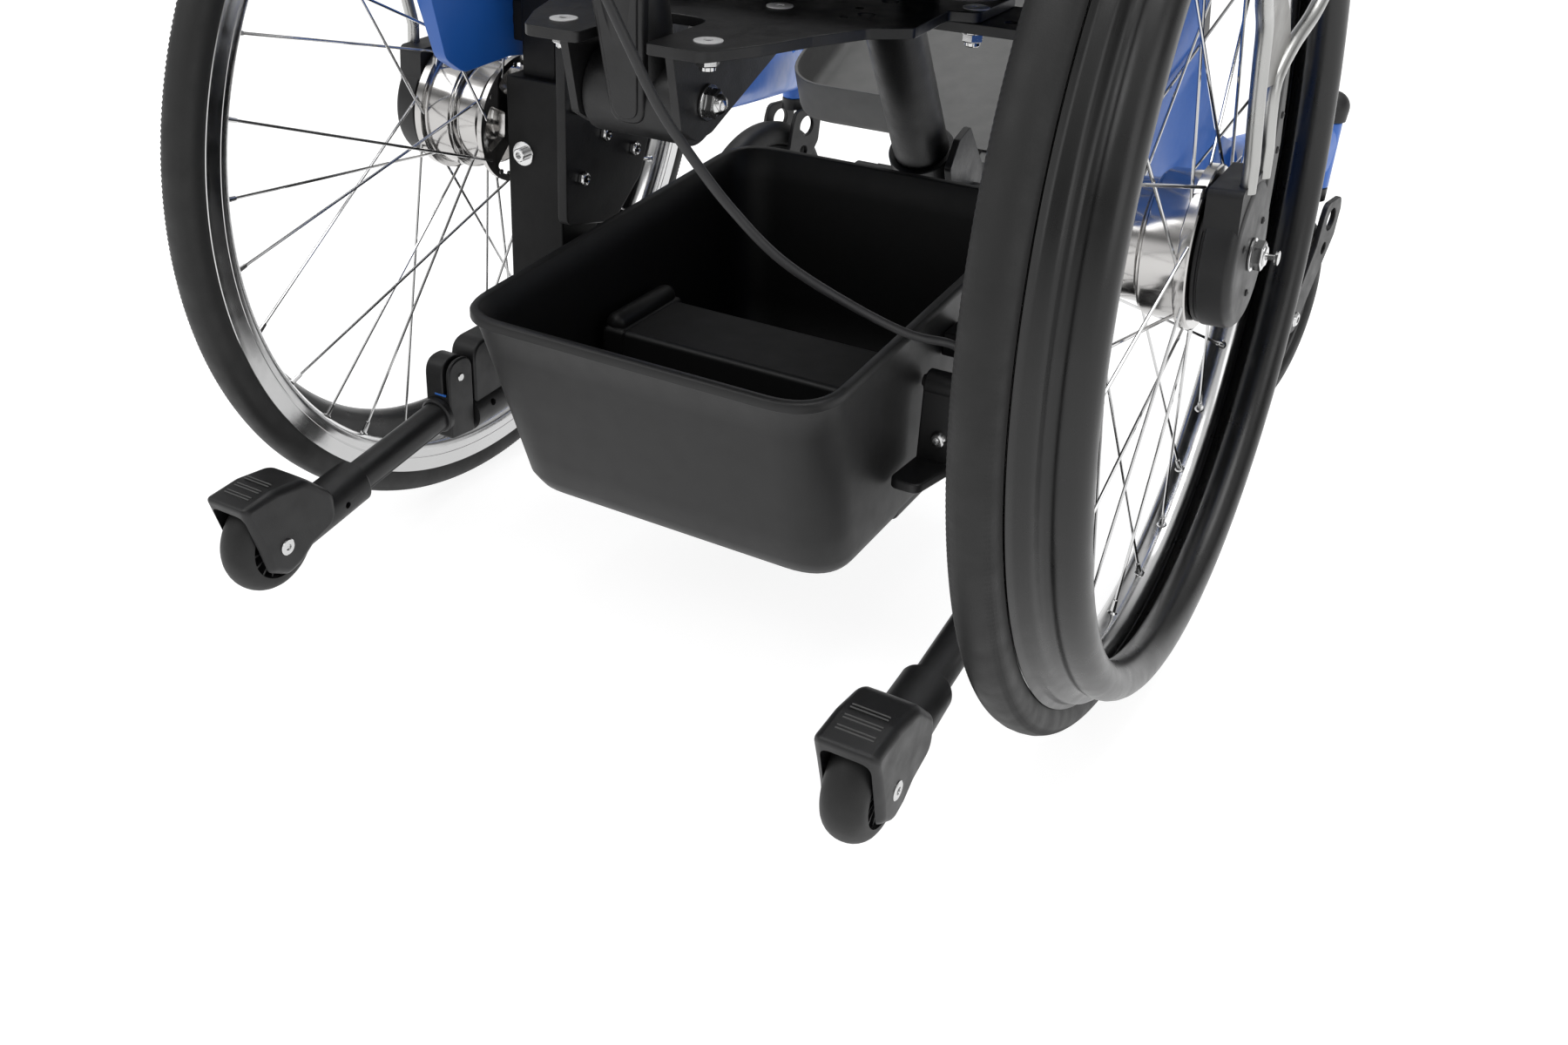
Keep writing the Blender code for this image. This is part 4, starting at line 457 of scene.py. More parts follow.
def combine(base, others, operation="DIFFERENCE"):
    """Cuts (or joins) shapes with exact booleans."""
    objects = [as_object("step", shape) for shape in (base, *others)]
    for other in objects[1:]:
        change = objects[0].modifiers.new("step", "BOOLEAN")
        change.operation = operation
        change.object = other
    result = applied(objects[0])
    made = bmesh.new()
    made.from_mesh(result)
    for mesh in (result, *[obj.data for obj in objects]):
        bpy.data.meshes.remove(mesh)  # and the object that uses it
    return made


def for_side(shape, side):
    """The shape as drawn for the left side, or its mirror image for the right side."""
    if side < 0:
        shape.transform(Matrix.Scale(-1, 4, (1, 0, 0)))
        bmesh.ops.reverse_faces(shape, faces=shape.faces)
    return shape


def mirrored(points):
    return [(sign * p[0], *p[1:]) for p in points for sign in (1, -1)]


def piece(name, shape, slot="black_powder", body="frame", nodes=(), bevel=0, steps=3, angle=32, material=None):
    """Makes one visible piece from a shape in chair space, its edges rounded by bevel or kept sharp."""
    obj = as_object(name, placed(shape, (0, CHAIR_Y, 0)))
    obj.data.materials.append(material or LOOK[slot])
    obj.data.shade_smooth()
    if bevel:
        edge = obj.modifiers.new("edge", "BEVEL")
        edge.width = bevel / 1000
        edge.segments = steps
        edge.limit_method = "ANGLE"
        edge.angle_limit = math.radians(angle)
        edge.use_clamp_overlap = True
        obj.modifiers.new("even", "WEIGHTED_NORMAL").keep_sharp = False
    else:
        obj.data.set_sharp_from_angle(angle=math.radians(angle))
    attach(obj, body)
    if nodes:
        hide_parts(*nodes)
    return obj


def pair(name, make, slot="black_powder", body="frame", node=None, **options):
    """The same piece on both sides. A body or node name takes its side's word at its end."""
    for side, word in SIDES:
        place = "frame" if body == "frame" else f"{body}_{word}"
        piece(f"{name}_{word}", for_side(make(), side), slot, place, (f"{node}_{word}",) if node else (), **options)


def wheel_pair(name, make, *facts, **options):
    """A pair drawn in the wheel's own space, with X outward."""
    pair(name, lambda: placed(make(), HUB, -CAMBER, "Y"), *facts, **options)


# Rear wheels, drawn in the wheel's own space
def tyre():
    half = [(4, 294.65), (7.5, 293.4), (9.2, 292.35), (10.6, 290.95), (11.7, 288.8), (12.4, 286), (12.5, 283.2),
            (12.1, 280.2), (11.2, 277.6), (10.5, 275.8)]
    profile = [(0, 295), *both(half)]
    tread = {2: 0.3, 3: 0.9, 4: 1.1, 5: 0.5}
    return turned(profile, 1120, {**tread, **{len(profile) - k: depth for k, depth in tread.items()}})


def rim():
    wall = [(11.5, 273), (11.5, 266.4), (11.2, 266.1), (11.2, 265.5), (11.5, 265.2), (11.5, 264), (11, 261.2),
            (9.7, 258.5), (8.5, 257.2), (5, 255.3)]
    return turned([(9.5, 275.7), (10.6, 274.4), (11.7, 273.8), *both(wall, (0, 254.5)), (-11.7, 273.8),
                   (-11.7, 276.8), (-11.2, 277.2), (-10.6, 275.7)], 360)


def handrim():
    lip = [(11.9, 269.8), (11.2, 274.2), (10.9, 275.2), (11.3, 276.2), (11.9, 276.6), (12.6, 275.8), (13.6, 273.4),
           (15, 272.4), (18, 271.6), (20.3, 271), (21.7, 269.9), (22.8, 268.1), (23.8, 266), (25.2, 264.2)]
    tube = arc((HANDRIM_OFFSET, HANDRIM_RADIUS), (HANDRIM_TUBE, HANDRIM_TUBE), range(120, -111, -15))
    foot = [(25.5, 243.6), (22.5, 247), (20.3, 252.5), (18.5, 259), (16, 265), (13.5, 268.8)]
    return turned(lip + tube + foot, 360)


def hub():
    body = turned([
        (-33.5, 6.3), (-33.5, 44.5), (-32.9, 46), (-29.1, 46), (-28.5, 45), (-28.5, 20), (-26.5, 18), (-21.5, 18),
        (-20.5, 19), (-20.5, 33.5), (-19, 35.5), (-4.5, 36.5), (-4, 36.8), (-3, 40), (-2, 41.2), (-1, 41.2),
        (-0.5, 41.8), (0, 42.8), (1.2, 43), (19, 43), (19.8, 43.6), (20, 46), (20.6, 47.5), (26.2, 47.5),
        (27, 46.6), (27, 6.3),
    ])
    holes = []
    for k in range(5):
        a = k * TAU / 5
        outline = [(r * math.cos(a + turn), r * math.sin(a + turn)) for r, turn in (
            (21.5, -0.42), (40, -0.44), (41.5, -0.2), (41.8, 0), (41.5, 0.2), (40, 0.44), (21.5, 0.42))]
        holes.append(extrude(rounded(outline, 3, 4), "X", -40, -27))
    return combine(body, [gathered(holes)])


def spoke_lines():
    """Start and end of every spoke, from its flange to the rim, with its flange's side."""
    for k in range(SPOKES_PER_FLANGE):
        sign = 1 if k % 2 else -1
        for plane, radius, turn in ((23.5, 43, k), (-31, 41.5, k + 0.5)):
            angle = turn * TAU / SPOKES_PER_FLANGE
            cross = angle + sign * math.radians(45)
            lean = sign * 1.25
            yield (Vector((plane + 2 * lean, radius * math.cos(cross), radius * math.sin(cross))),
                   Vector((lean, SPOKE_END * math.cos(angle), SPOKE_END * math.sin(angle))), sign)


def spokes():
    shapes = []
    for start, end, sign in spoke_lines():
        out = Vector((sign, 0, 0))
        elbow = [start - out * 4.5, start - out * 2, start, start + (end - start).normalized() * 2, end]
        shapes += [sweep(elbow, 1, sides=8, up=start.cross(end)), rod(elbow[0], elbow[0] - out * 0.9, 2.1, 10)]
    return gathered(shapes)


def nipples():
    shapes = []
    for start, end, _ in spoke_lines():
        way = (start - end).normalized()
        shapes += [rod(end - way * 0.5, end + way * 9.5, 1.9, 10, 1.5, 0.3),
                   rod(end - way * 0.3, end + way * 0.8, 3.4, 14, 2.7)]
    return gathered(shapes)


def lever_housing():
    inner = [(0, 6.2), (0, 40.8), (0.8, 41.8), (2.4, 42), (3, 41.2), (3.8, 41.2), (4.4, 42.7), (5.4, HOUSING_RADIUS)]
    outer = [(5, HOUSING_RADIUS), (2.8, 42.2), (1, 40.2), (0, 37.8), (0, 6.2)]
    body = turned([(HOUSING_IN + x, r) for x, r in inner] + [(HOUSING_OUT - x, r) for x, r in outer])
    top = extrude(rounded([(-24, 18), (36, 18), (36, 44.5), (-24, 45.5)], 5), "X", HOUSING_IN + 2, HOUSING_OUT - 1.5)
    sockets = [rod((ROD_PLANE, y, 41), (ROD_PLANE, y, 81), 4.7) for y in (22, -12)]
    return combine(combine(body, [top], "UNION"), sockets)


def lever_plate():
    """The plate on the housing's outer face, with the tongue beside the rods."""
    return extrude(rounded([(-16, 0), (-24, 55), (-24, 98.5), (-32, 102.5), (-40, 55), (-36, 0)], 5, 4), "X",
                   HOUSING_OUT - 4.5, HOUSING_OUT - 0.4)


def lever_screws():
    plate = [(HOUSING_OUT - 0.4, -30, 72), (HOUSING_OUT - 0.4, -31, 52)]
    ring = [(HOUSING_OUT, 24 * math.cos(a), 24 * math.sin(a)) for a in (0.4, 2.5, 4.6)]
    return gathered([screw(spot, (1, 0, 0), 2.1, 1.2) for spot in plate + ring])


def loop_route():
    """The bent rod's route. Each point's first number is its share of the way out to the upper plane."""
    top = [(1, LOOP_HALF - 12, 300), (1, LOOP_HALF - 48, LOOP_TOP - 22), (1, GRIP_HALF + 16, LOOP_TOP - 3.5),
           (1, GRIP_HALF + 2, LOOP_TOP)]
    rear = [(0, 22, 41), (0, 22, 57), (0, 30, 82), (0, 37, 111), (0.1, 47, 133), (0.35, 72, 152),
            (0.8, LOOP_HALF - 25, 182), (1, LOOP_HALF, 235), *top]
    front = [(0, -12, 41), (0, -12, 57), (0, -5, 77), (0, -6, 96), (0.15, -30, 110), (0.4, -72, 124),
             (0.85, 22 - LOOP_HALF, 158), (1, -LOOP_HALF, 220), *[(share, -y, z) for share, y, z in top]]
    rear, front = ([Vector((ROD_PLANE + share * (ROD_PLANE_TOP - ROD_PLANE), y, z)) for share, y, z in part]
                   for part in (rear, front))
    return rear[:1] + smooth_route(rear[1:], 6) + smooth_route(front[1:], 6)[::-1] + front[:1]


def lever_rod():
    return sweep(loop_route(), ROD_RADIUS, up=(1, 0, 0))


def lever_web():
    """The grey plate welded between the two rods above the housing."""
    return extrude(rounded(
        [(-6, 94), (34, 98), (40, 116), (50, 134), (66, 147), (52, 160), (10, 150), (-18, 128), (-30, 112)],
        [3, 3, 3, 3, 6, 20, 20, 10, 4], 4), "X", ROD_PLANE - 0.8, ROD_PLANE + 0.8)


def lever_grip():
    end = [(-GRIP_HALF, 4.6), (-GRIP_HALF, 11), (0.8 - GRIP_HALF, 13), (3 - GRIP_HALF, 13.5)]
    grip = turned(both(end, *grooves(6 - GRIP_HALF, GRIP_HALF - 6, 11, 13.5, 0.9, 2.2, 1.2)), 48)
    return placed(grip, (ROD_PLANE_TOP, 0, LOOP_TOP), 90)


def outside(profile, steps):
    """A turned profile whose X is counted from the housing's outer face."""
    return turned([(HOUSING_OUT + x, r) for x, r in profile], steps)


def axle_pin():
    """The quick-release axle with its washer, hexagon nut and inner end."""
    bar = outside([(-126, 3), (-125.5, 4.5), (-123.5, 6), (7.8, 6), (8.5, 5.2), (8.5, 2.4), (-120, 2.2)], 32)
    washer = outside([(0.3, 6.1), (0.3, 9.3), (0.6, 9.6), (1.4, 9.6), (1.7, 9.3), (1.7, 6.1)], 40)
    return gathered([bar, washer, nut((HOUSING_OUT + 1.7, 0, 0), (1, 0, 0), 8.6, 5.8)])


def axle_button():
    return outside([(-8, 0.2), (-8, 1.8), (12.8, 1.8), (13.2, 3.6), (13.7, 4.1), (15, 4.1), (15.3, 3.6), (15.3, 0.2)],
                   32)


wheel_pair("tyre", tyre, "tyre_rubber", "rear_wheel", "rear_tyre", angle=60)
wheel_pair("rim", rim, "rim_metal", "rear_wheel", "rear_rim", angle=25)
wheel_pair("pushrim", handrim, "grip_rubber", "rear_wheel", "handrim", angle=50)
wheel_pair("hub", hub, "bright_metal", "rear_wheel", "hub_and_spokes", angle=25)
wheel_pair("spokes", spokes, "chrome", "rear_wheel")
wheel_pair("nipples", nipples, "chrome", "rear_wheel")
wheel_pair("housing", lever_housing, "black_plastic", "drive_lever", "lever_housing", bevel=1.2)
wheel_pair("housing_plate", lever_plate, "tray_plastic", "drive_lever", bevel=0.8)
wheel_pair("housing_screws", lever_screws, "black_powder", "drive_lever")
wheel_pair("lever_rod", lever_rod, "rod_metal", "drive_lever", "lever_loop")
wheel_pair("lever_web", lever_web, "rod_metal", "drive_lever", bevel=0.4, material=WEB)
wheel_pair("grip", lever_grip, "grip_rubber", "drive_lever", "lever_grip", angle=50)
wheel_pair("axle", axle_pin, "chrome", "frame", "axle_pin")
wheel_pair("release_button", axle_button, "chrome", "axle_button", "axle_button")


# Casters
def swivelled(shape, side):
    return for_side(turned_about(shape, (CASTER_X, CASTER_Y, 0), side * CASTER_TURN[side], "Z"), side)


def caster_fork():
    y, end, low = CASTER_Y, CASTER_AXLE.y, CASTER_RADIUS
    outline = rounded([
        (y - 16.5, CROWN_LOW + 6), (y - 21.5, CROWN_LOW - 6), (y - 19.5, 150), (end - 16, low + 2), (end - 8, low - 13),
        (end + 8, low - 13), (end + 16, low + 6), (y + 24, 150), (y + 20.5, CROWN_LOW - 6), (y + 16.5, CROWN_LOW + 6),
    ], 10, 6)
    plates = [extrude(outline, "X", CASTER_X + FORK_IN, CASTER_X + FORK_OUT),
              extrude(outline, "X", CASTER_X - FORK_OUT, CASTER_X - FORK_IN)]
    crown = block((CASTER_X - FORK_OUT + 1, CASTER_X + FORK_OUT - 1), (y - 16, y + 16), (CROWN_LOW, CROWN_LOW + 5.5))
    holes = [along_x(CASTER_X - 60, CASTER_X + 60, spot, radius)
             for spot, radius in (((y, 168.5), 10), ((y + 3, 143), 5.5))]
    return combine(gathered([*plates, crown]), [gathered(holes)])


def caster_stem():
    profile = [(CROWN_LOW + 3, 0.2), (CROWN_LOW + 3, 11.2), (STEM_LOW - 0.8, 11.2), (STEM_LOW - 0.3, 10.6),
               (STEM_LOW - 0.3, 7), (STEM_HIGH + 0.6, 7), (STEM_HIGH + 0.6, 13.2)]
    knob = arc((STEM_HIGH + 11, 0), (14, 14), range(98, 0, -12)) + [(STEM_HIGH + 25, 0.2)]
    return placed(turned(profile + knob, 40), (CASTER_X, CASTER_Y, 0), -90, "Y")


def caster_axle():
    ends = [screw((CASTER_X + sign * (FORK_OUT - 0.5), *CASTER_AXLE.yz), (sign, 0, 0), 6.5, 3.5) for sign in (1, -1)]
    return gathered([along_x(CASTER_X - FORK_OUT - 1.5, CASTER_X + FORK_OUT + 1.5, CASTER_AXLE, 4), *ends])


def caster_tyre():
    crown = [(0.52, 0.985), (0.80, 0.948), (0.95, 0.90), (0.98, 0.84), (0.94, 0.785), (0.80, 0.755), (0.50, 0.745)]
    return placed(turned([(0, CASTER_RADIUS), *both(scaled(crown, CASTER_HALF, CASTER_RADIUS))], 128), CASTER_AXLE)


def caster_hub():
    felly = scaled([(0.60, 0.748), (0.72, 0.735), (0.66, 0.69), (0.2, 0.67)], CASTER_HALF, CASTER_RADIUS)
    core = scaled([(-0.88, 5.2), (-0.88, 13), (-0.80, 14), (-0.4, 17)], CASTER_HALF, 1)
    end = CASTER_RADIUS * 0.69
    arms = [placed(extrude(rounded([(-7.5, 14), (7.5, 14), (5, end), (-5, end)], 1, 2), "X",
                           -CASTER_HALF * 0.42, CASTER_HALF * 0.42), turn=60 * k, axis="X") for k in range(6)]
    return placed(gathered([turned(both(felly)), turned(both(core), 48), *arms]), CASTER_AXLE)


for side, word in SIDES:
    fork, wheel = f"caster_fork_{word}", f"caster_wheel_{word}"
    piece(f"fork_{word}", swivelled(caster_fork(), side), "black_powder", fork, (fork,), bevel=0.8)
    piece(f"fork_stem_{word}", swivelled(caster_stem(), side), "black_plastic", fork)
    piece(f"fork_axle_{word}", swivelled(caster_axle(), side), "chrome", fork)
    piece(f"caster_tyre_{word}", swivelled(caster_tyre(), side), "tyre_rubber", wheel, (wheel,), angle=60)
    piece(f"caster_hub_{word}", swivelled(caster_hub(), side), "black_plastic", wheel, bevel=0.5)


# Blue side frames and front legs
def side_frame():
    outline = rounded([
        (68, 340), (18, 341.5), (-35, 335), (-85, 305), (-140, 270), (-200, 245), (-254, 237.5), (-268, 238.5),
        (-268, 285.5), (-200, 310), (-150, 352), (-110, 395), (-105, 480), (118, 480), (105, 420), (86, 352),
    ], [16, 30, 30, 30, 30, 30, 6, 2, 2, 30, 30, 30, 12, 12, 30, 14])
    outward = Vector((math.cos(math.radians(CAMBER)), 0, math.sin(math.radians(CAMBER))))
    spoke_space = rod(HUB - outward * 34.5, HUB - outward, 48.5, 96, 260)
    return combine(extrude(outline, "X", SIDE_X, SIDE_X + SIDE_THICK), [spoke_space])


def front_leg():
    bar = sweep(smooth_route([
        (SIDE_X + 8, -252, 262), (SIDE_X + 16, -344, 250), (CASTER_X - 12, -454, 235), (CASTER_X, -506, 226),
    ], 12), 13, 23.5, 40, power=3.0, end_scale=0.83)
    bar = combine(bar, [block((0, 400), (-600, -400), (100, STEM_LOW + 1)),
                        block((0, 400), (-600, -460), (STEM_HIGH - 1, 400)), block((0, 400), (-268.3, 0), (100, 400))])
    tube = rod((CASTER_X, CASTER_Y, STEM_LOW), (CASTER_X, CASTER_Y, STEM_HIGH), 11.2, 48, chamfer=0.8)
    return gathered([bar, tube])


pair("side_panel", side_frame, "blue_paint", "frame", "side_frame", bevel=2.6, steps=4)
pair("panel_lug", lambda: along_x(COLUMN_OUT + 0.3, SIDE_X + 4, (2, 366), 11))
pair("leg", front_leg, "blue_paint", "frame", "front_leg", bevel=1.2)


# Axle columns and their plates
def axle_column():
    return gathered([
        block((COLUMN_IN, COLUMN_OUT), (COLUMN_FRONT_Y, COLUMN_REAR_Y), (113.5, 330)),
        block((172, 200), (-16, 16), (328, BAR_LOW - 0.3)), block((199, COLUMN_OUT), (-10, 14), (352, 380)),
        block((126.7, COLUMN_IN + 2), (-12, 12), (196, 212)),
    ])


def column_bolt():
    rear = Vector((195, COLUMN_REAR_Y, 276))
    washer = rod(rear - Vector((0, 0.5, 0)), rear + Vector((0, 1.2, 0)), 8.8, 40, chamfer=0.3)
    head = turned([(0, 0.2), (0, 4.8), (4.8, 4.8), (5.4, 4.2), (5.4, 2.5), (3, 2.4), (2.9, 0.2)], 32)
    return gathered([washer, placed(head, rear + Vector((0, 1, 0)), 90)])


def axle_plate():
    return extrude(rounded([(30, 365), (30, 232), (-30, 218), (-66, 245), (-78, 275), (-50, 330), (-30, 365)], 8),
                   "X", DROPOUT_IN, DROPOUT_IN + DROPOUT_THICK)


def plate_nuts():
    shapes = []
    for y, z in ((19, 315), (-17, 288), (-55, 268), (11, 262)):
        collar = turned([(0, 4.6), (1.2, 4.2), (1.6, 3.4), (1.2, 2.7), (0, 2.6)], 24)
        shapes += [nut((DROPOUT_IN, y, z), (-1, 0, 0), 5.4, 3.2), placed(collar, (DROPOUT_IN - 3, y, z), 180),
                   along_x(DROPOUT_IN - 3.6, DROPOUT_IN + 2, (y, z), 2.6, 20)]
    return gathered(shapes)


# The axle columns take the painted-shade copy of black powder
pair("column", axle_column, node="axle_column", bevel=1.6, material=COLUMN_PAINTED_SHADE)
pair("column_bolt", column_bolt, "chrome")
pair("dropout_plate", axle_plate, node="axle_plate", bevel=1.0)
pair("dropout_nuts", plate_nuts, "chrome")


# Seat plate and cross bar
def drilled(body, spots):
    """Drills holes of (x, y, radius) and their mirror images down through a plate."""
    return combine(body, [gathered([rod((x, y, 380), (x, y, 430), r, 24) for x, y, r in mirrored(spots)])])


def seat_plate():
    half = [(21, 203), (55.5, 203), (72, 172), (84, 138), (100, 104), (120, 88), (117, 34), (134, 30), (134, -30),
            (117, -36), (117, -190)]
    radii = [4, 10, 20, 20, 10, 4, 3, 6, 6, 4, 12]
    outline = rounded(both(half) + [(-21, 132), (21, 132)], radii + radii[::-1] + [16, 16], 6)
    return drilled(extrude(outline, "Z", PLATE_LOW, PLATE_TOP),
                   [(79.3, 30.9, 5), (83.7, 72, 5), (73.1, 58.4, 2.4), (76.3, 85.3, 2.4)])


def cross_bar():
    return drilled(block((-COLUMN_OUT, COLUMN_OUT), (-32, 30), (BAR_LOW, PLATE_LOW - 0.3)),
                   [(147, 14, 3.5), (163, 14, 3.5), (179, 14, 3.5)])


def plate_screws():
    head = [(-1.2, 0.2), (-1.2, 5), (0.1, 7.8), (0.6, 7.8), (0.8, 7), (0.8, 2.6), (-0.8, 2.4), (-0.9, 0.2)]
    return gathered([placed(turned(head, 40), (x, y, PLATE_TOP), -90, "Y") for x, y in mirrored(PLATE_SCREWS)])


def plate_nuts_below():
    shapes = []
    for x, y in mirrored([PLATE_SCREWS[0], PLATE_SCREWS[2]]):
        top = PLATE_LOW if abs(x) < 100 else BAR_LOW
        shapes += [rod((x, y, top - 1.3), (x, y, top + 0.5), 8.4, chamfer=0.2),
                   nut((x, y, top - 1.2), (0, 0, -1), 6.4, 5.5),
                   rod((x, y, top - 9.2), (x, y, top), 4.5, 24, chamfer=0.6)]
    return gathered(shapes)


piece("plate", seat_plate(), nodes=("seat_plate",), bevel=0.7)
piece("cross_bar", cross_bar(), nodes=("seat_cross_bar",), bevel=0.8)
# The plate screws take the painted-light steel, brighter than their shade under the seat shell allows
piece("plate_screws", plate_screws(), "chrome", material=STEEL_PAINTED_LIGHT)
piece("plate_nuts", plate_nuts_below(), "chrome")


# Back pivot, post, shell and push bar
def gusset():
    y, z = PIVOT.yz
    return extrude(rounded([
        (y + 36, PLATE_LOW - 0.3), (y + 26, z - 10), (y + 10, z - 19.5), (y - 6, z - 18), (y - 30, z - 8),
        (y - 125, PLATE_LOW - 0.3),
    ], [1, 6, 8, 10, 14, 1]), "X", GUSSET_IN, GUSSET_IN + GUSSET_THICK)


def pivot_bolt():
    """Domed nut and washer on the right, button head on the left."""
    face, spot = GUSSET_IN + GUSSET_THICK + 0.3, PIVOT.yz
    cap = turned([(4, 0.2), (4, 5.8), *arc((6.5, 0), (5.2, 5.8), range(90, 0, -12)), (11.8, 0.2)], 32)
    return gathered([
        along_x(-face - 3, face + 2, spot, 4.9), placed(cap, (-face, *spot), 180),
        along_x(-face - 1.6, -face, spot, 10, 40, chamfer=0.3), nut((-face - 1.4, *spot), (-1, 0, 0), 8, 5.6),
        screw((face, *spot), (1, 0, 0), 7.8, 5.4),
    ])


def on_back(shape, lean=POST_LEAN):
    """From the back's own space, with the pivot at its origin and Z up the post."""
    return placed(shape, PIVOT, -lean, "X")


def back_post():
    post = rod(POST_FOOT, POST_FOOT + POST_WAY * POST_LENGTH, 19, 64, 16.5)
    return combine(post, [block((-100, 100), (60, 262), (300, PIVOT.z - 5))])


def post_rib(shrink, depth):
    """The pressed tongue up the post's rear face, narrow at its foot."""
    foot, top = 10.5 - shrink, 19 - shrink
    outline = rounded([(-foot, shrink), (foot, shrink), (top, 100 - shrink), (-top, 100 - shrink)],
                      [9.5, 9.5, 4, 4], 6)
    return on_back(placed(extrude(outline, "Y", 10, 27.5 - depth), (0, 0, -8)), POST_LEAN * 0.6)


def back_shell():
    outline = rounded(both([(-BACK_HALF, BACK_LOW), (-BACK_HALF * 0.9, BACK_HIGH)])[::-1], 35)
    return on_back(extrude(outline, "Y", -56.3, -50.3))


def shell_screws():
    return gathered([on_back(screw((x, 0, h + 10), (0, 1, 0), 5.5, 3)) for h in EAR_HEIGHTS for x in (-34, 34)])


def push_points():
    middle = POST_FOOT + POST_WAY * (POST_LENGTH + 14.3)
    y, z = middle.yz
    half = [(0, y, z), (82.5, y, z), (138, y + 6, z + 4), (150, y + 30, z + 14), (150, y + 60, z + 22),
            (150, y + 165, z + 40)]
    return [(-a, b, c) for a, b, c in half[:0:-1]] + half, middle


def push_grips(middle):
    shapes = []
    for x in (150, -150):
        start = Vector((x, middle.y + 62, middle.z + 22.4))
        end = Vector((x, middle.y + 170, middle.z + 40.9))
        length = (end - start).length
        profile = [(0, 11), (0, 15), (1, 15.5), (4, 15.5), *grooves(8, length - 12, 16, 15.5, 0.8, 1.8, 1.0),
                   (length - 3, 15.5), (length - 0.5, 14), (length, 11), (length, 0.2), (0, 0.2)]
        shapes.append(aimed(turned(profile, 40), start, end - start))
    return gathered(shapes)


pair("gusset", gusset, node="pivot_gusset", bevel=0.8)
piece("pivot_fastener", pivot_bolt(), "chrome", nodes=("pivot_bolt",))
piece("post", back_post(), "black_powder", "back", ("back_post",), bevel=0.6, angle=50)
piece("post_barrel", along_x(-30, 30, PIVOT, 24.5, 64, chamfer=0.8), "black_powder", "back")
piece("post_rib", post_rib(0, 1.2), "black_powder", "back", bevel=2.2, steps=4)
piece("post_rib_face", post_rib(3.2, 0), "black_powder", "back", bevel=1.0)
piece("post_ears", gathered([on_back(block((-45, 45), (-50, 0), (h, h + 20))) for h in EAR_HEIGHTS]),
      "black_powder", "back", bevel=1.5)
piece("shell_back", back_shell(), "black_plastic", "back", ("back_shell",), bevel=1.4)
piece("shell_screws", shell_screws(), "chrome", "back")
route, bar_middle = push_points()
piece("push_handle", gathered([
    sweep(smooth_route(route, 8), 11, sides=32, up=(0, -0.4, 1)),
    rod(POST_FOOT + POST_WAY * (POST_LENGTH + 0.3), bar_middle + POST_WAY * 2, 17.5, 48, chamfer=1),
]), "black_powder", "back", ("push_bar",), angle=50)
piece("push_grips", push_grips(bar_middle), "grip_rubber", "back", angle=50)


# Seat shell and cushions
def seat_shell():
    outline = rounded([(-165, -270), (165, -270), (165, 100), (-165, 100)], 30)
    feet = [rod((x, y, PLATE_TOP + 0.3), (x, y, 436), 12, chamfer=1) for x in (-85, 85) for y in (-150, 0)]
    return gathered([extrude(outline, "Z", 434, 442), *feet])


def cushion_outline(width, length, count):
    return scaled(circle(count, 5.0), width / 2, length / 2)


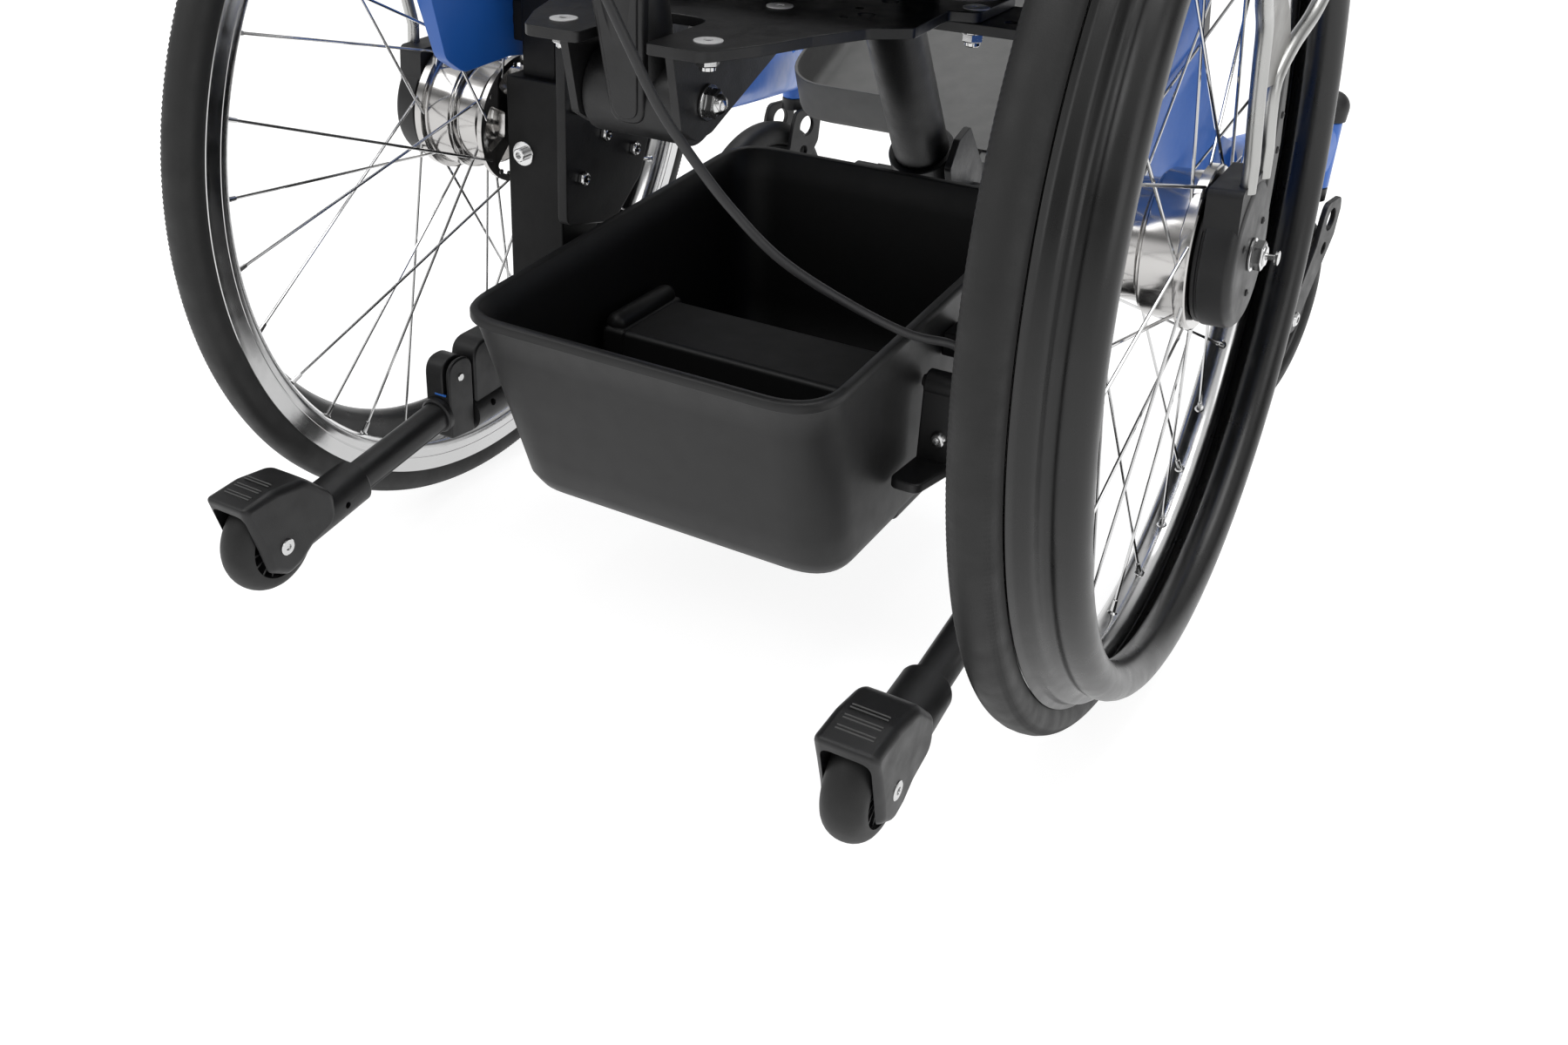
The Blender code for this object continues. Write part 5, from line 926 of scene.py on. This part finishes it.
def cushion(name, width, length, height, channel, place, nodes, body):
    """A stuffed pad: swelled by a cloth simulation, with two sewn channels, stitching and piping round its edge."""
    swell, cell = 0.76, 0.008
    outline = cushion_outline(width - 12, length - 12, 96)
    obj = as_object(name, loft([
        [(x * s, y * s, z * height * swell) for x, y in outline]
        for s, z in ((0.94, 0.0), (1.0, 0.12), (1.0, 0.84), (0.97, 0.98), (0.90, 1.06), (0.60, 1.10), (0.25, 1.12))]))
    piping = sweep([Vector((x, y, height * 0.5)) for x, y in cushion_outline(width * 0.985, length * 0.985, 160)],
                   2.6, sides=12, around=True)
    # From here on in metres, as the mesh is
    width, height, channels = width / 1000, height / 1000, (-channel / 1000, channel / 1000)
    remesh = obj.modifiers.new("voxel", "REMESH")
    remesh.mode = "VOXEL"
    remesh.voxel_size = 0.005
    obj.data = applied(obj)
    rest = [v.co.copy() for v in obj.data.vertices]
    cloth = obj.modifiers.new("cloth", "CLOTH")
    cloth.settings.use_pressure = True
    cloth.settings.uniform_pressure_force = 4.0
    cloth.settings.effector_weights.gravity = 0
    cloth.settings.quality = 6
    for frame_number in range(1, 21):
        bpy.context.scene.frame_set(frame_number)
    obj.data = applied(obj)
    bpy.context.scene.frame_set(1)
    cap = 0.007
    shape = bmesh.new()
    shape.from_mesh(obj.data)
    top = height * swell * 1.12
    for vert, start in zip(shape.verts, rest):
        swelled = vert.co - start
        if swelled.length > cap:
            vert.co = start + swelled.normalized() * cap
        pull = 1 - 0.010 * math.exp(-((vert.co.z / height - 0.5) / 0.12) ** 2)
        vert.co.x, vert.co.y = vert.co.x * pull, vert.co.y * pull
        if vert.co.z > 0.6 * top:
            for at in channels:
                off = vert.co.y - at
                vert.co.z -= 0.0050 * math.exp(-(off / 0.006) ** 2) + 0.0020 * math.exp(-(off / 0.020) ** 2)
        vert.co.z = min(max(vert.co.z, 0.0), height + 0.004)
    for _ in range(2):
        bmesh.ops.smooth_vert(shape, verts=shape.verts, factor=0.4, use_axis_x=True, use_axis_y=True, use_axis_z=True)
    tops = {}
    for vert in shape.verts:
        key = (round(vert.co.x / cell), round(vert.co.y / cell))
        tops[key] = max(tops.get(key, 0.0), vert.co.z)

    def height_at(x, y):
        a, b = round(x / cell), round(y / cell)
        return tops.get((a, b)) or max(tops.get((a + i, b + j), 0.0) for i in (-1, 0, 1) for j in (-1, 0, 1))

    stitches = []
    span = width * 0.43
    count = round(2 * span / 0.0055)
    for at in channels:
        for k in range(count):
            x = -span + 2 * span * (k + 0.5) / count
            spot = Vector((x, at, height_at(x, at) + 0.0001)) * 1000
            stitches.append(rod(spot - Vector((1.8, 0, 0)), spot + Vector((1.8, 0, 0)), 0.55, 6))
    for part in (shape, piping, *stitches):
        part.transform(place)
    pad = piece(name + "_pad", shape, "fabric", body, nodes, angle=80)
    fine = pad.modifiers.new("fine", "SUBSURF")
    fine.levels = fine.render_levels = 1
    piece(name + "_piping", piping, "fabric", body, material=PIPING, angle=80)
    piece(name + "_stitches", gathered(stitches), "fabric", body, material=THREAD, angle=80)
    bpy.data.objects.remove(obj)


piece("shell_seat", seat_shell(), "black_plastic", nodes=("seat_shell",), bevel=1.4)
cushion("seat", 320, 360, 50, 62, shift((0, -85, 442.3)), ("seat_cushion",), "frame")
back_place = (shift(PIVOT) @ Matrix.Rotation(-math.radians(POST_LEAN), 4, "X")
              @ shift((0, -56.6, (BACK_LOW + BACK_HIGH) / 2)) @ Matrix.Rotation(math.pi / 2, 4, "X"))
cushion("back", 286, 296, 36, 52, back_place, ("back_cushion",), "back")


# Inclined tube, front cross tube, tray hanger, foot tray
def lift_tube():
    return combine(rod(LIFT_LOW, LIFT_HIGH + LIFT_WAY * 50, 21.5, 64),
                   [block((-100, 100), (-500, 500), (PLATE_LOW - 0.3, 600))])


def cross_tube():
    cup = rod(LIFT_LOW - LIFT_WAY * 16, LIFT_LOW + LIFT_WAY * 30, 26, 64, chamfer=0.8)
    hole = rod(LIFT_LOW, LIFT_LOW + LIFT_WAY * 200, 21.8, 64)
    return gathered([along_x(-68, 68, (-264, 206), 15, 48, chamfer=0.8), combine(cup, [hole])])


def cross_cheek():
    cheek = extrude(rounded([(-288, 190), (-228, 205), (-208, 246), (-222, 266), (-242, 272), (-276, 236)], 5, 4),
                    "X", -36.5, -31)
    return gathered([cheek, block((-32.5, -17.5), (-262, -240), (205, 232))])


def tray_hanger():
    y, z, seat_y = *TRAY_PIVOT.yz, -279.3
    outline = rounded([(y - 7, z - 12), (seat_y - 4, z - 12), (seat_y, z - 4), (seat_y, 215), (seat_y - 8, 215),
                       (seat_y - 24, z + 1.5), (y - 7, z + 1.5)], [4, 2, 1, 1, 2, 6, 4], 4)
    return gathered([extrude(outline, "X", x - 8, x + 8) for x in (-21.5, 50)])


def tray():
    left, right, y0, y1, low, high, sheet = 209.5, -125, -655, -415, 200, 246, 3
    rings = []
    for inset, z in ((10, low), (4, low + 1.2), (1, low + 4), (0, low + 9), (0, high - 0.8), (0.8, high),
                     (sheet - 0.8, high), (sheet, high - 0.8), (sheet, low + 11), (sheet + 1.2, low + 6.5),
                     (sheet + 4, low + 4), (14, low + sheet)):
        corners = [(right + inset, y0 + inset), (left - inset, y0 + inset), (left - inset, y1 - inset),
                   (right + inset, y1 - inset)]
        rings.append([(x, y, z) for x, y in rounded(corners, 45 - inset, 10)])
    notch = extrude(rounded([(-30, low + sheet), (-50, low + 200), (80, low + 200), (62, low + sheet)],
                            [6, 0, 0, 6], 6), "Y", y1 - 20, y1 + 20)
    front = block((-300, 300), (y0 - 20, y0 + 30), (low + 12, low + 200))
    return turned_about(combine(loft(rings), [notch, front]), TRAY_PIVOT, -TRAY_TILT)


def tray_knuckles():
    return turned_about(gathered([block((x - 10, x + 10), (-437, TRAY_PIVOT.y + 8), (TRAY_PIVOT.z - 8, 200.5))
                                  for x in (3.5, 26.5)]), TRAY_PIVOT, -TRAY_TILT)


piece("inclined_tube", lift_tube(), nodes=("lift_tube",), bevel=0.6)
piece("front_tube", cross_tube(), nodes=("front_cross_tube",), angle=40)
piece("front_cheek", cross_cheek(), bevel=0.8)
piece("hanger", tray_hanger(), nodes=("tray_hanger",), bevel=0.7)
piece("hanger_pin", along_x(-36.5, 65, TRAY_PIVOT, 4.5, chamfer=0.6), "chrome")
piece("tray", tray(), "tray_plastic", "foot_tray", ("foot_tray",), angle=40)
piece("tray_knuckles", tray_knuckles(), "tray_plastic", "foot_tray", bevel=1.2)


# Basket
def basket():
    """Rings up the outside, over the lip and down the inside; share is how far down the taper a ring lies."""
    top, low, wall, slope, height = 228, 92, 3.5, 0.058, 136

    def ring(inset, z, share, lift=0.0):
        half = 126.5 - 8.5 * share - inset
        rear = 188 - 36 * share - inset
        front = -172 + 17 * share + inset
        outline = rounded([(-half, front), (half, front), (half, rear), (-half, rear)], 34 - min(inset, 20), 10)
        return [(x - 9 * share, y, z + lift * (188 - y)) for x, y in outline]

    rings = [ring(16, low, 1), ring(8, low + 0.6, 1), ring(3.5, low + 3, 1), ring(0.8, low + 7.5, 0.98),
             ring(0, low + 13, 1 - 13 / height)]
    for t in (1 / 6, 2 / 6, 3 / 6, 4 / 6, 5 / 6):
        rings.append(ring(0, low + 13 + (top - 8.5 - low - 13) * t, (1 - 13 / height) * (1 - t) + 0.03 * t, slope * t))
    for inset, drop, share in ((0, 8.5, 0.03), (-1.2, 6.6, 0.01), (-2.8, 5.8, 0), (-3, 4.8, 0), (-3, 1.2, 0),
                               (-2, 0, 0), (wall - 1, 0, 0), (wall, 1, 0)):
        rings.append(ring(inset, top - drop, share, slope))
    for t in (5 / 6, 4 / 6, 3 / 6, 2 / 6, 1 / 6):
        rings.append(ring(wall, low + 16 + (top - low - 17) * t, (1 - 16 / height) * (1 - t), slope * t))
    return loft(rings + [ring(wall, low + 14, 1 - 14 / height), ring(wall + 3, low + 7.5, 1),
                         ring(wall + 10, low + wall, 1)])


def basket_shelf():
    return gathered([block((-126.5, 88), (-10, 60), (94.5, 178)), block((86, 105.5), (-20, 58), (94.5, 177))])


def basket_rib():
    rib = turned([(-12, 0.1), (-11.2, 4), (-8, 6.8), (-4, 8), (58, 8), (61, 7), (63, 4), (63.7, 0.1)], 40)
    return placed(rib, (97.5, -8, 178), 90)


piece("tub", basket(), "basket_plastic", nodes=("basket",), angle=50)
piece("tub_shelf", basket_shelf(), "basket_plastic", bevel=4, steps=5)
piece("tub_rib", basket_rib(), "basket_plastic", angle=60)


# Anti-tip arms
def on_arm(y):
    return Vector((TIP_X, y, 101 - (y - 112) * TIP_FALL))


def tip_receiver():
    tube = combine(rod((TIP_X, -26, 96.5), (TIP_X, 84.5, 91.5), 15, 48),
                   [block((0, 400), (-60, 24.5), (113.2, 200)), along_x(TIP_X - 50, TIP_X, (67.5, 96.5), 2.6)])
    return gathered([tube, block((200.5, 208), (-18, 22), (94, 113.2))])


def tip_latch():
    """The rounded release lever on top of the receiver."""
    return extrude(rounded([(24.5, 98.5), (83.5, 98.5), (83.5, 147.5), (24.5, 147.5)], [3, 3, 14, 12]), "X",
                   TIP_X - 11, TIP_X + 11)


def tip_tongue():
    """The receiver's tongue, which lies in the knuckle's slot."""
    return extrude(rounded([(70, 122.3), (105.7, 122.3), (105.7, 134.7), (70, 134.7)], [1, 6.1, 6.1, 1]), "X",
                   TIP_X - 7.2, TIP_X - 5)


def tip_knuckle():
    y = TIP_PIVOT.y
    body = extrude(rounded([(y - 13.2, 80), (y + 13, 83), (y + 13, 143), (y - 13.2, 143)], [3, 3, 12.5, 12.5]), "X",
                   TIP_X - 11.2, TIP_X + 11.2)
    return combine(body, [block((TIP_X - 7.7, TIP_X - 4.5), (0, y + 20), (116.5, 200))])


def tip_bar():
    start, end = on_arm(104), on_arm(236)
    bar = sweep([start, (start + end) / 2, end], 10.5, sides=40, power=2.4)
    return gathered([bar, rod(on_arm(110.5), on_arm(116.5), 13.5, 48, chamfer=1.2)])


def tip_bead():
    return gathered([rod(on_arm(118) + Vector((x, 0, -6.2)), on_arm(205) + Vector((x, 0, -6.2)), 1.2, 12)
                     for x in (8.3, -8.3)])


def tip_hood():
    middle, wheel_y, wheel_z = TIP_WHEEL
    neck = sweep([on_arm(y) for y in (203.5, 204.5, 230, 262)], 14.7, sides=48, power=2.3, end_scale=1.14)
    outline = rounded([
        (238, 99), (237, 79), (260, 70.5), (273, 62), (284.6, 59.2), (300, 68), (305, 85), (316.3, 122.2),
        (290, 124.7), (262, 121.2),
    ], [12, 10, 12, 6, 8, 8, 10, 3, 20, 20])
    centre, edge, rings = Vector((277, 92)), 6, []
    for k in range(-8, 9):
        turn = math.radians(k * 90 / 8)
        x = (HOOD_HALF - edge) * ((k > 0) - (k < 0)) + edge * math.sin(turn)
        inset = edge * (1 - math.cos(turn))
        rings.append([(middle + x, *(Vector(p) - (Vector(p) - centre).normalized() * inset)) for p in outline])
    body = combine(loft(rings), [neck], "UNION")
    clear, inner, straight = 37, 14.1, 18
    room = []
    for off in (-clear, -30, -20, -10, 0, 10, straight, 60):
        reach = min(1.0, abs(off) / clear)
        top = clear * math.sqrt(1 - reach * reach) if off < straight else clear * 0.90
        room.append([(middle + x, wheel_y + off, z) for x, z in rounded(
            both([(inner, 0), (inner, wheel_z + max(top, 4))])[::-1], [0, 6.5, 6.5, 0], 6)])
    return combine(body, [loft(room), rod(on_arm(150), on_arm(236.5), 10.8, 40),
                          along_x(TIP_X - 30, TIP_X - 5, on_arm(227.5), 2.4)])


def hood_lines():
    """Three pairs of raised lines across the hood's top."""
    shapes = []
    for y in (285.3, 287.7, 293.8, 296.2, 302.3, 304.7):
        z = 124.7 - (y - 290) * 0.095
        shapes.append(sweep([Vector((TIP_WHEEL.x + x, y, z)) for x in (-10.5, 0, 10.5)], 0.5, 0.6, 8))
    return gathered(shapes)


def tip_screws():
    shapes = [along_x(TIP_WHEEL.x - 18, TIP_WHEEL.x + 18, TIP_WHEEL, 3.6)]
    for sign, x in ((-1, -HOOD_HALF), (1, HOOD_HALF - 0.4)):
        head = turned([(0, 0.2), (0, 5.6), (0.8, 5.6), (1.2, 5), (1.2, 2.3), (0.2, 2.1), (0.1, 0.2)], 40)
        head.transform(shift((TIP_WHEEL.x + x, *TIP_WHEEL.yz)) @ Matrix.Scale(sign, 4, (1, 0, 0)))
        shapes.append(face_out(head))
    return gathered(shapes)


def tip_tyre():
    crown = arc((0, TIP_RADIUS - TIP_HALF * 0.8), (TIP_HALF, TIP_HALF * 0.8), range(78, -7, -12))
    crown += scaled([(0.97, 0.70), (0.88, 0.675), (0.60, 0.67)], TIP_HALF, TIP_RADIUS)
    return placed(turned([(0, TIP_RADIUS), *both(crown)]), TIP_WHEEL)


def tip_spokes():
    felly = scaled([(0.80, 0.72), (0.84, 0.66), (0.3, 0.60)], TIP_HALF, TIP_RADIUS)
    core = scaled([(-0.88, 3.8), (-0.88, 8.2)], TIP_HALF, 1)
    fins = [placed(block((-TIP_HALF * 0.8, TIP_HALF * 0.8), (-0.7, 0.7), (8, TIP_RADIUS * 0.66)),
                   turn=22.5 * k, axis="X") for k in range(16)]
    return placed(gathered([turned(both(felly), 64), turned(both(core, (0, 9.5)), 40), *fins]), TIP_WHEEL)


def tip_accent():
    """The thin blue insert on the knuckle's rear face."""
    return block((TIP_X - 7, TIP_X + 3), (TIP_PIVOT.y + 12, TIP_PIVOT.y + 13.3), (116.2, 117.6))


pair("tip_tube", tip_receiver, "black_plastic", "frame", "tip_receiver", bevel=0.8)
pair("tip_latch", tip_latch, "black_plastic", bevel=3.4, steps=5)
pair("tip_tongue", tip_tongue, "black_plastic", bevel=0.4)
pair("tip_knuckle", tip_knuckle, "black_plastic", "tip_arm", "tip_arm", bevel=1.5, steps=4)
pair("tip_bar", tip_bar, "black_powder", "tip_arm", angle=40)
pair("tip_bead", tip_bead, "black_powder", "tip_arm", angle=40)
pair("tip_accent", tip_accent, "blue_paint", "tip_arm", bevel=0.3)
pair("tip_button", lambda: along_x(TIP_X - 12, TIP_X + 12, TIP_PIVOT, 3, chamfer=0.5), "chrome", "tip_pin", "tip_pin")
pair("hood", tip_hood, "black_plastic", "tip_hood", "tip_hood", bevel=1.2, angle=28)
pair("hood_lines", hood_lines, "black_plastic", "tip_hood", angle=60, material=LOOK["tray_plastic"])
pair("hood_screws", tip_screws, "chrome", "tip_hood")
pair("tip_tyre", tip_tyre, "tyre_rubber", "tip_wheel", "tip_wheel", angle=60)
pair("tip_spokes", tip_spokes, "black_plastic", "tip_wheel", angle=40)


# Foot pedal on the right column
def pedal_bracket():
    x0, x1, y, z = -161.7, -158.7, *PEDAL_PIVOT.yz
    return gathered([
        block((x0, x1), (13.5, y + 10.5), (z - 13.5, z + 12.5)),
        block((x0, x1 + 7.5), (y - 10, y + 4), (z + 10.5, z + 20.3)), along_x(x0 + 1, -128, PEDAL_PIVOT, 4)])


def pedal():
    x0, x1, back = -158, -131, PEDAL_PIVOT.y + 7.5
    pad = extrude(rounded([(x0 + 2, back - 4), (x1, back - 4), (x1 + 3, back + 36), (x0 + 10, back + 36)],
                          [0, 0, 7, 7], 6), "Z", 132.5, 139.5)
    barrel = combine(along_x(x0, x1, PEDAL_PIVOT, 8.5, 40), [along_x(-300, 0, PEDAL_PIVOT, 4.3)])
    return gathered([pad, barrel, block((x0, x1), (back - 4.5, back), (134, PEDAL_PIVOT.z + 4))])


piece("pedal_plate", pedal_bracket(), nodes=("pedal_bracket",), bevel=0.8)
piece("pedal", pedal(), "black_powder", "foot_pedal", ("foot_pedal",), bevel=1.2)
piece("pedal_bolt", screw((-145.5, PEDAL_PIVOT.y + 7.3, 156), (0, 1, 0), 5.5, 4.6), "chrome", "foot_pedal")

# Brake cable, held at both ends, drawn as one fixed sweep
CABLE = [
    (4, 262, 520), (-3, 245, 480), (-12, 233, 452), (-30, 231, 420.5), (-45, 227, 392), (-60, 219, 367),
    (-75, 201, 336.5), (-90, 168, 300.5), (-113, 124, 265), (-134, 88, 240), (-149, 57, 226), (-154.5, 40, 213),
]
cable_shape = sweep(smooth_route(CABLE, 4), 2.7, sides=16, up=(1, 0, 0))
cable = as_object("cable", placed(cable_shape, (0, CHAIR_Y, 0)))
cable.data.materials.append(LOOK["cable_sleeve"])
cable.data.shade_smooth()
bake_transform(cable)
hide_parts("brake_cable")

# Floor and light, in metres apart from the floor's block
floor_glow = FLOOR.node_tree.nodes["Principled BSDF"].inputs
floor_glow["Emission Color"].default_value = (1, 1, 1, 1)
floor_glow["Emission Strength"].default_value = 0.88
floor = as_object("floor", block((-30000, 30000), (-30000, 30000), (-20, -0.2)))
floor.data.materials.append(FLOOR)

world = bpy.data.worlds.new("studio")
bpy.context.scene.world = world
world.use_nodes = True
sky, joins = world.node_tree.nodes, world.node_tree.links
way = sky.new("ShaderNodeTexCoord")
split = sky.new("ShaderNodeSeparateXYZ")
shade = sky.new("ShaderNodeValToRGB")
joins.new(way.outputs["Generated"], split.inputs["Vector"])
joins.new(split.outputs["Z"], shade.inputs["Fac"])
shade.color_ramp.elements[1].position = 0.75
for stop, level in ((0.16, 1.0), (0.34, 0.20)):
    shade.color_ramp.elements.new(stop).color = (level, level, level, 1)
shade.color_ramp.elements[0].color = (1.0, 1.0, 1.0, 1)
shade.color_ramp.elements[-1].color = (0.85, 0.85, 0.85, 1)
joins.new(shade.outputs["Color"], sky["Background"].inputs["Color"])
sky["Background"].inputs["Strength"].default_value = 0.9


def softbox(name, at, aim, size, power):
    lamp = bpy.data.objects.new(name, bpy.data.lights.new(name, "AREA"))
    lamp.data.shape = "RECTANGLE"
    lamp.data.size, lamp.data.size_y = size
    lamp.data.energy = power
    lamp.location = at
    lamp.rotation_euler = (Vector(aim) - Vector(at)).to_track_quat("-Z", "Y").to_euler()
    bpy.context.scene.collection.objects.link(lamp)


softbox("key", (1.4, 1.8, 2.2), (0, 0, 0.3), (1.6, 1.2), 16)
softbox("fill", (-2.2, 1.0, 1.4), (0, 0, 0.3), (1.2, 1.6), 8)
softbox("top", (0.0, -0.2, 3.0), (0, 0, 0), (2.4, 2.4), 62)
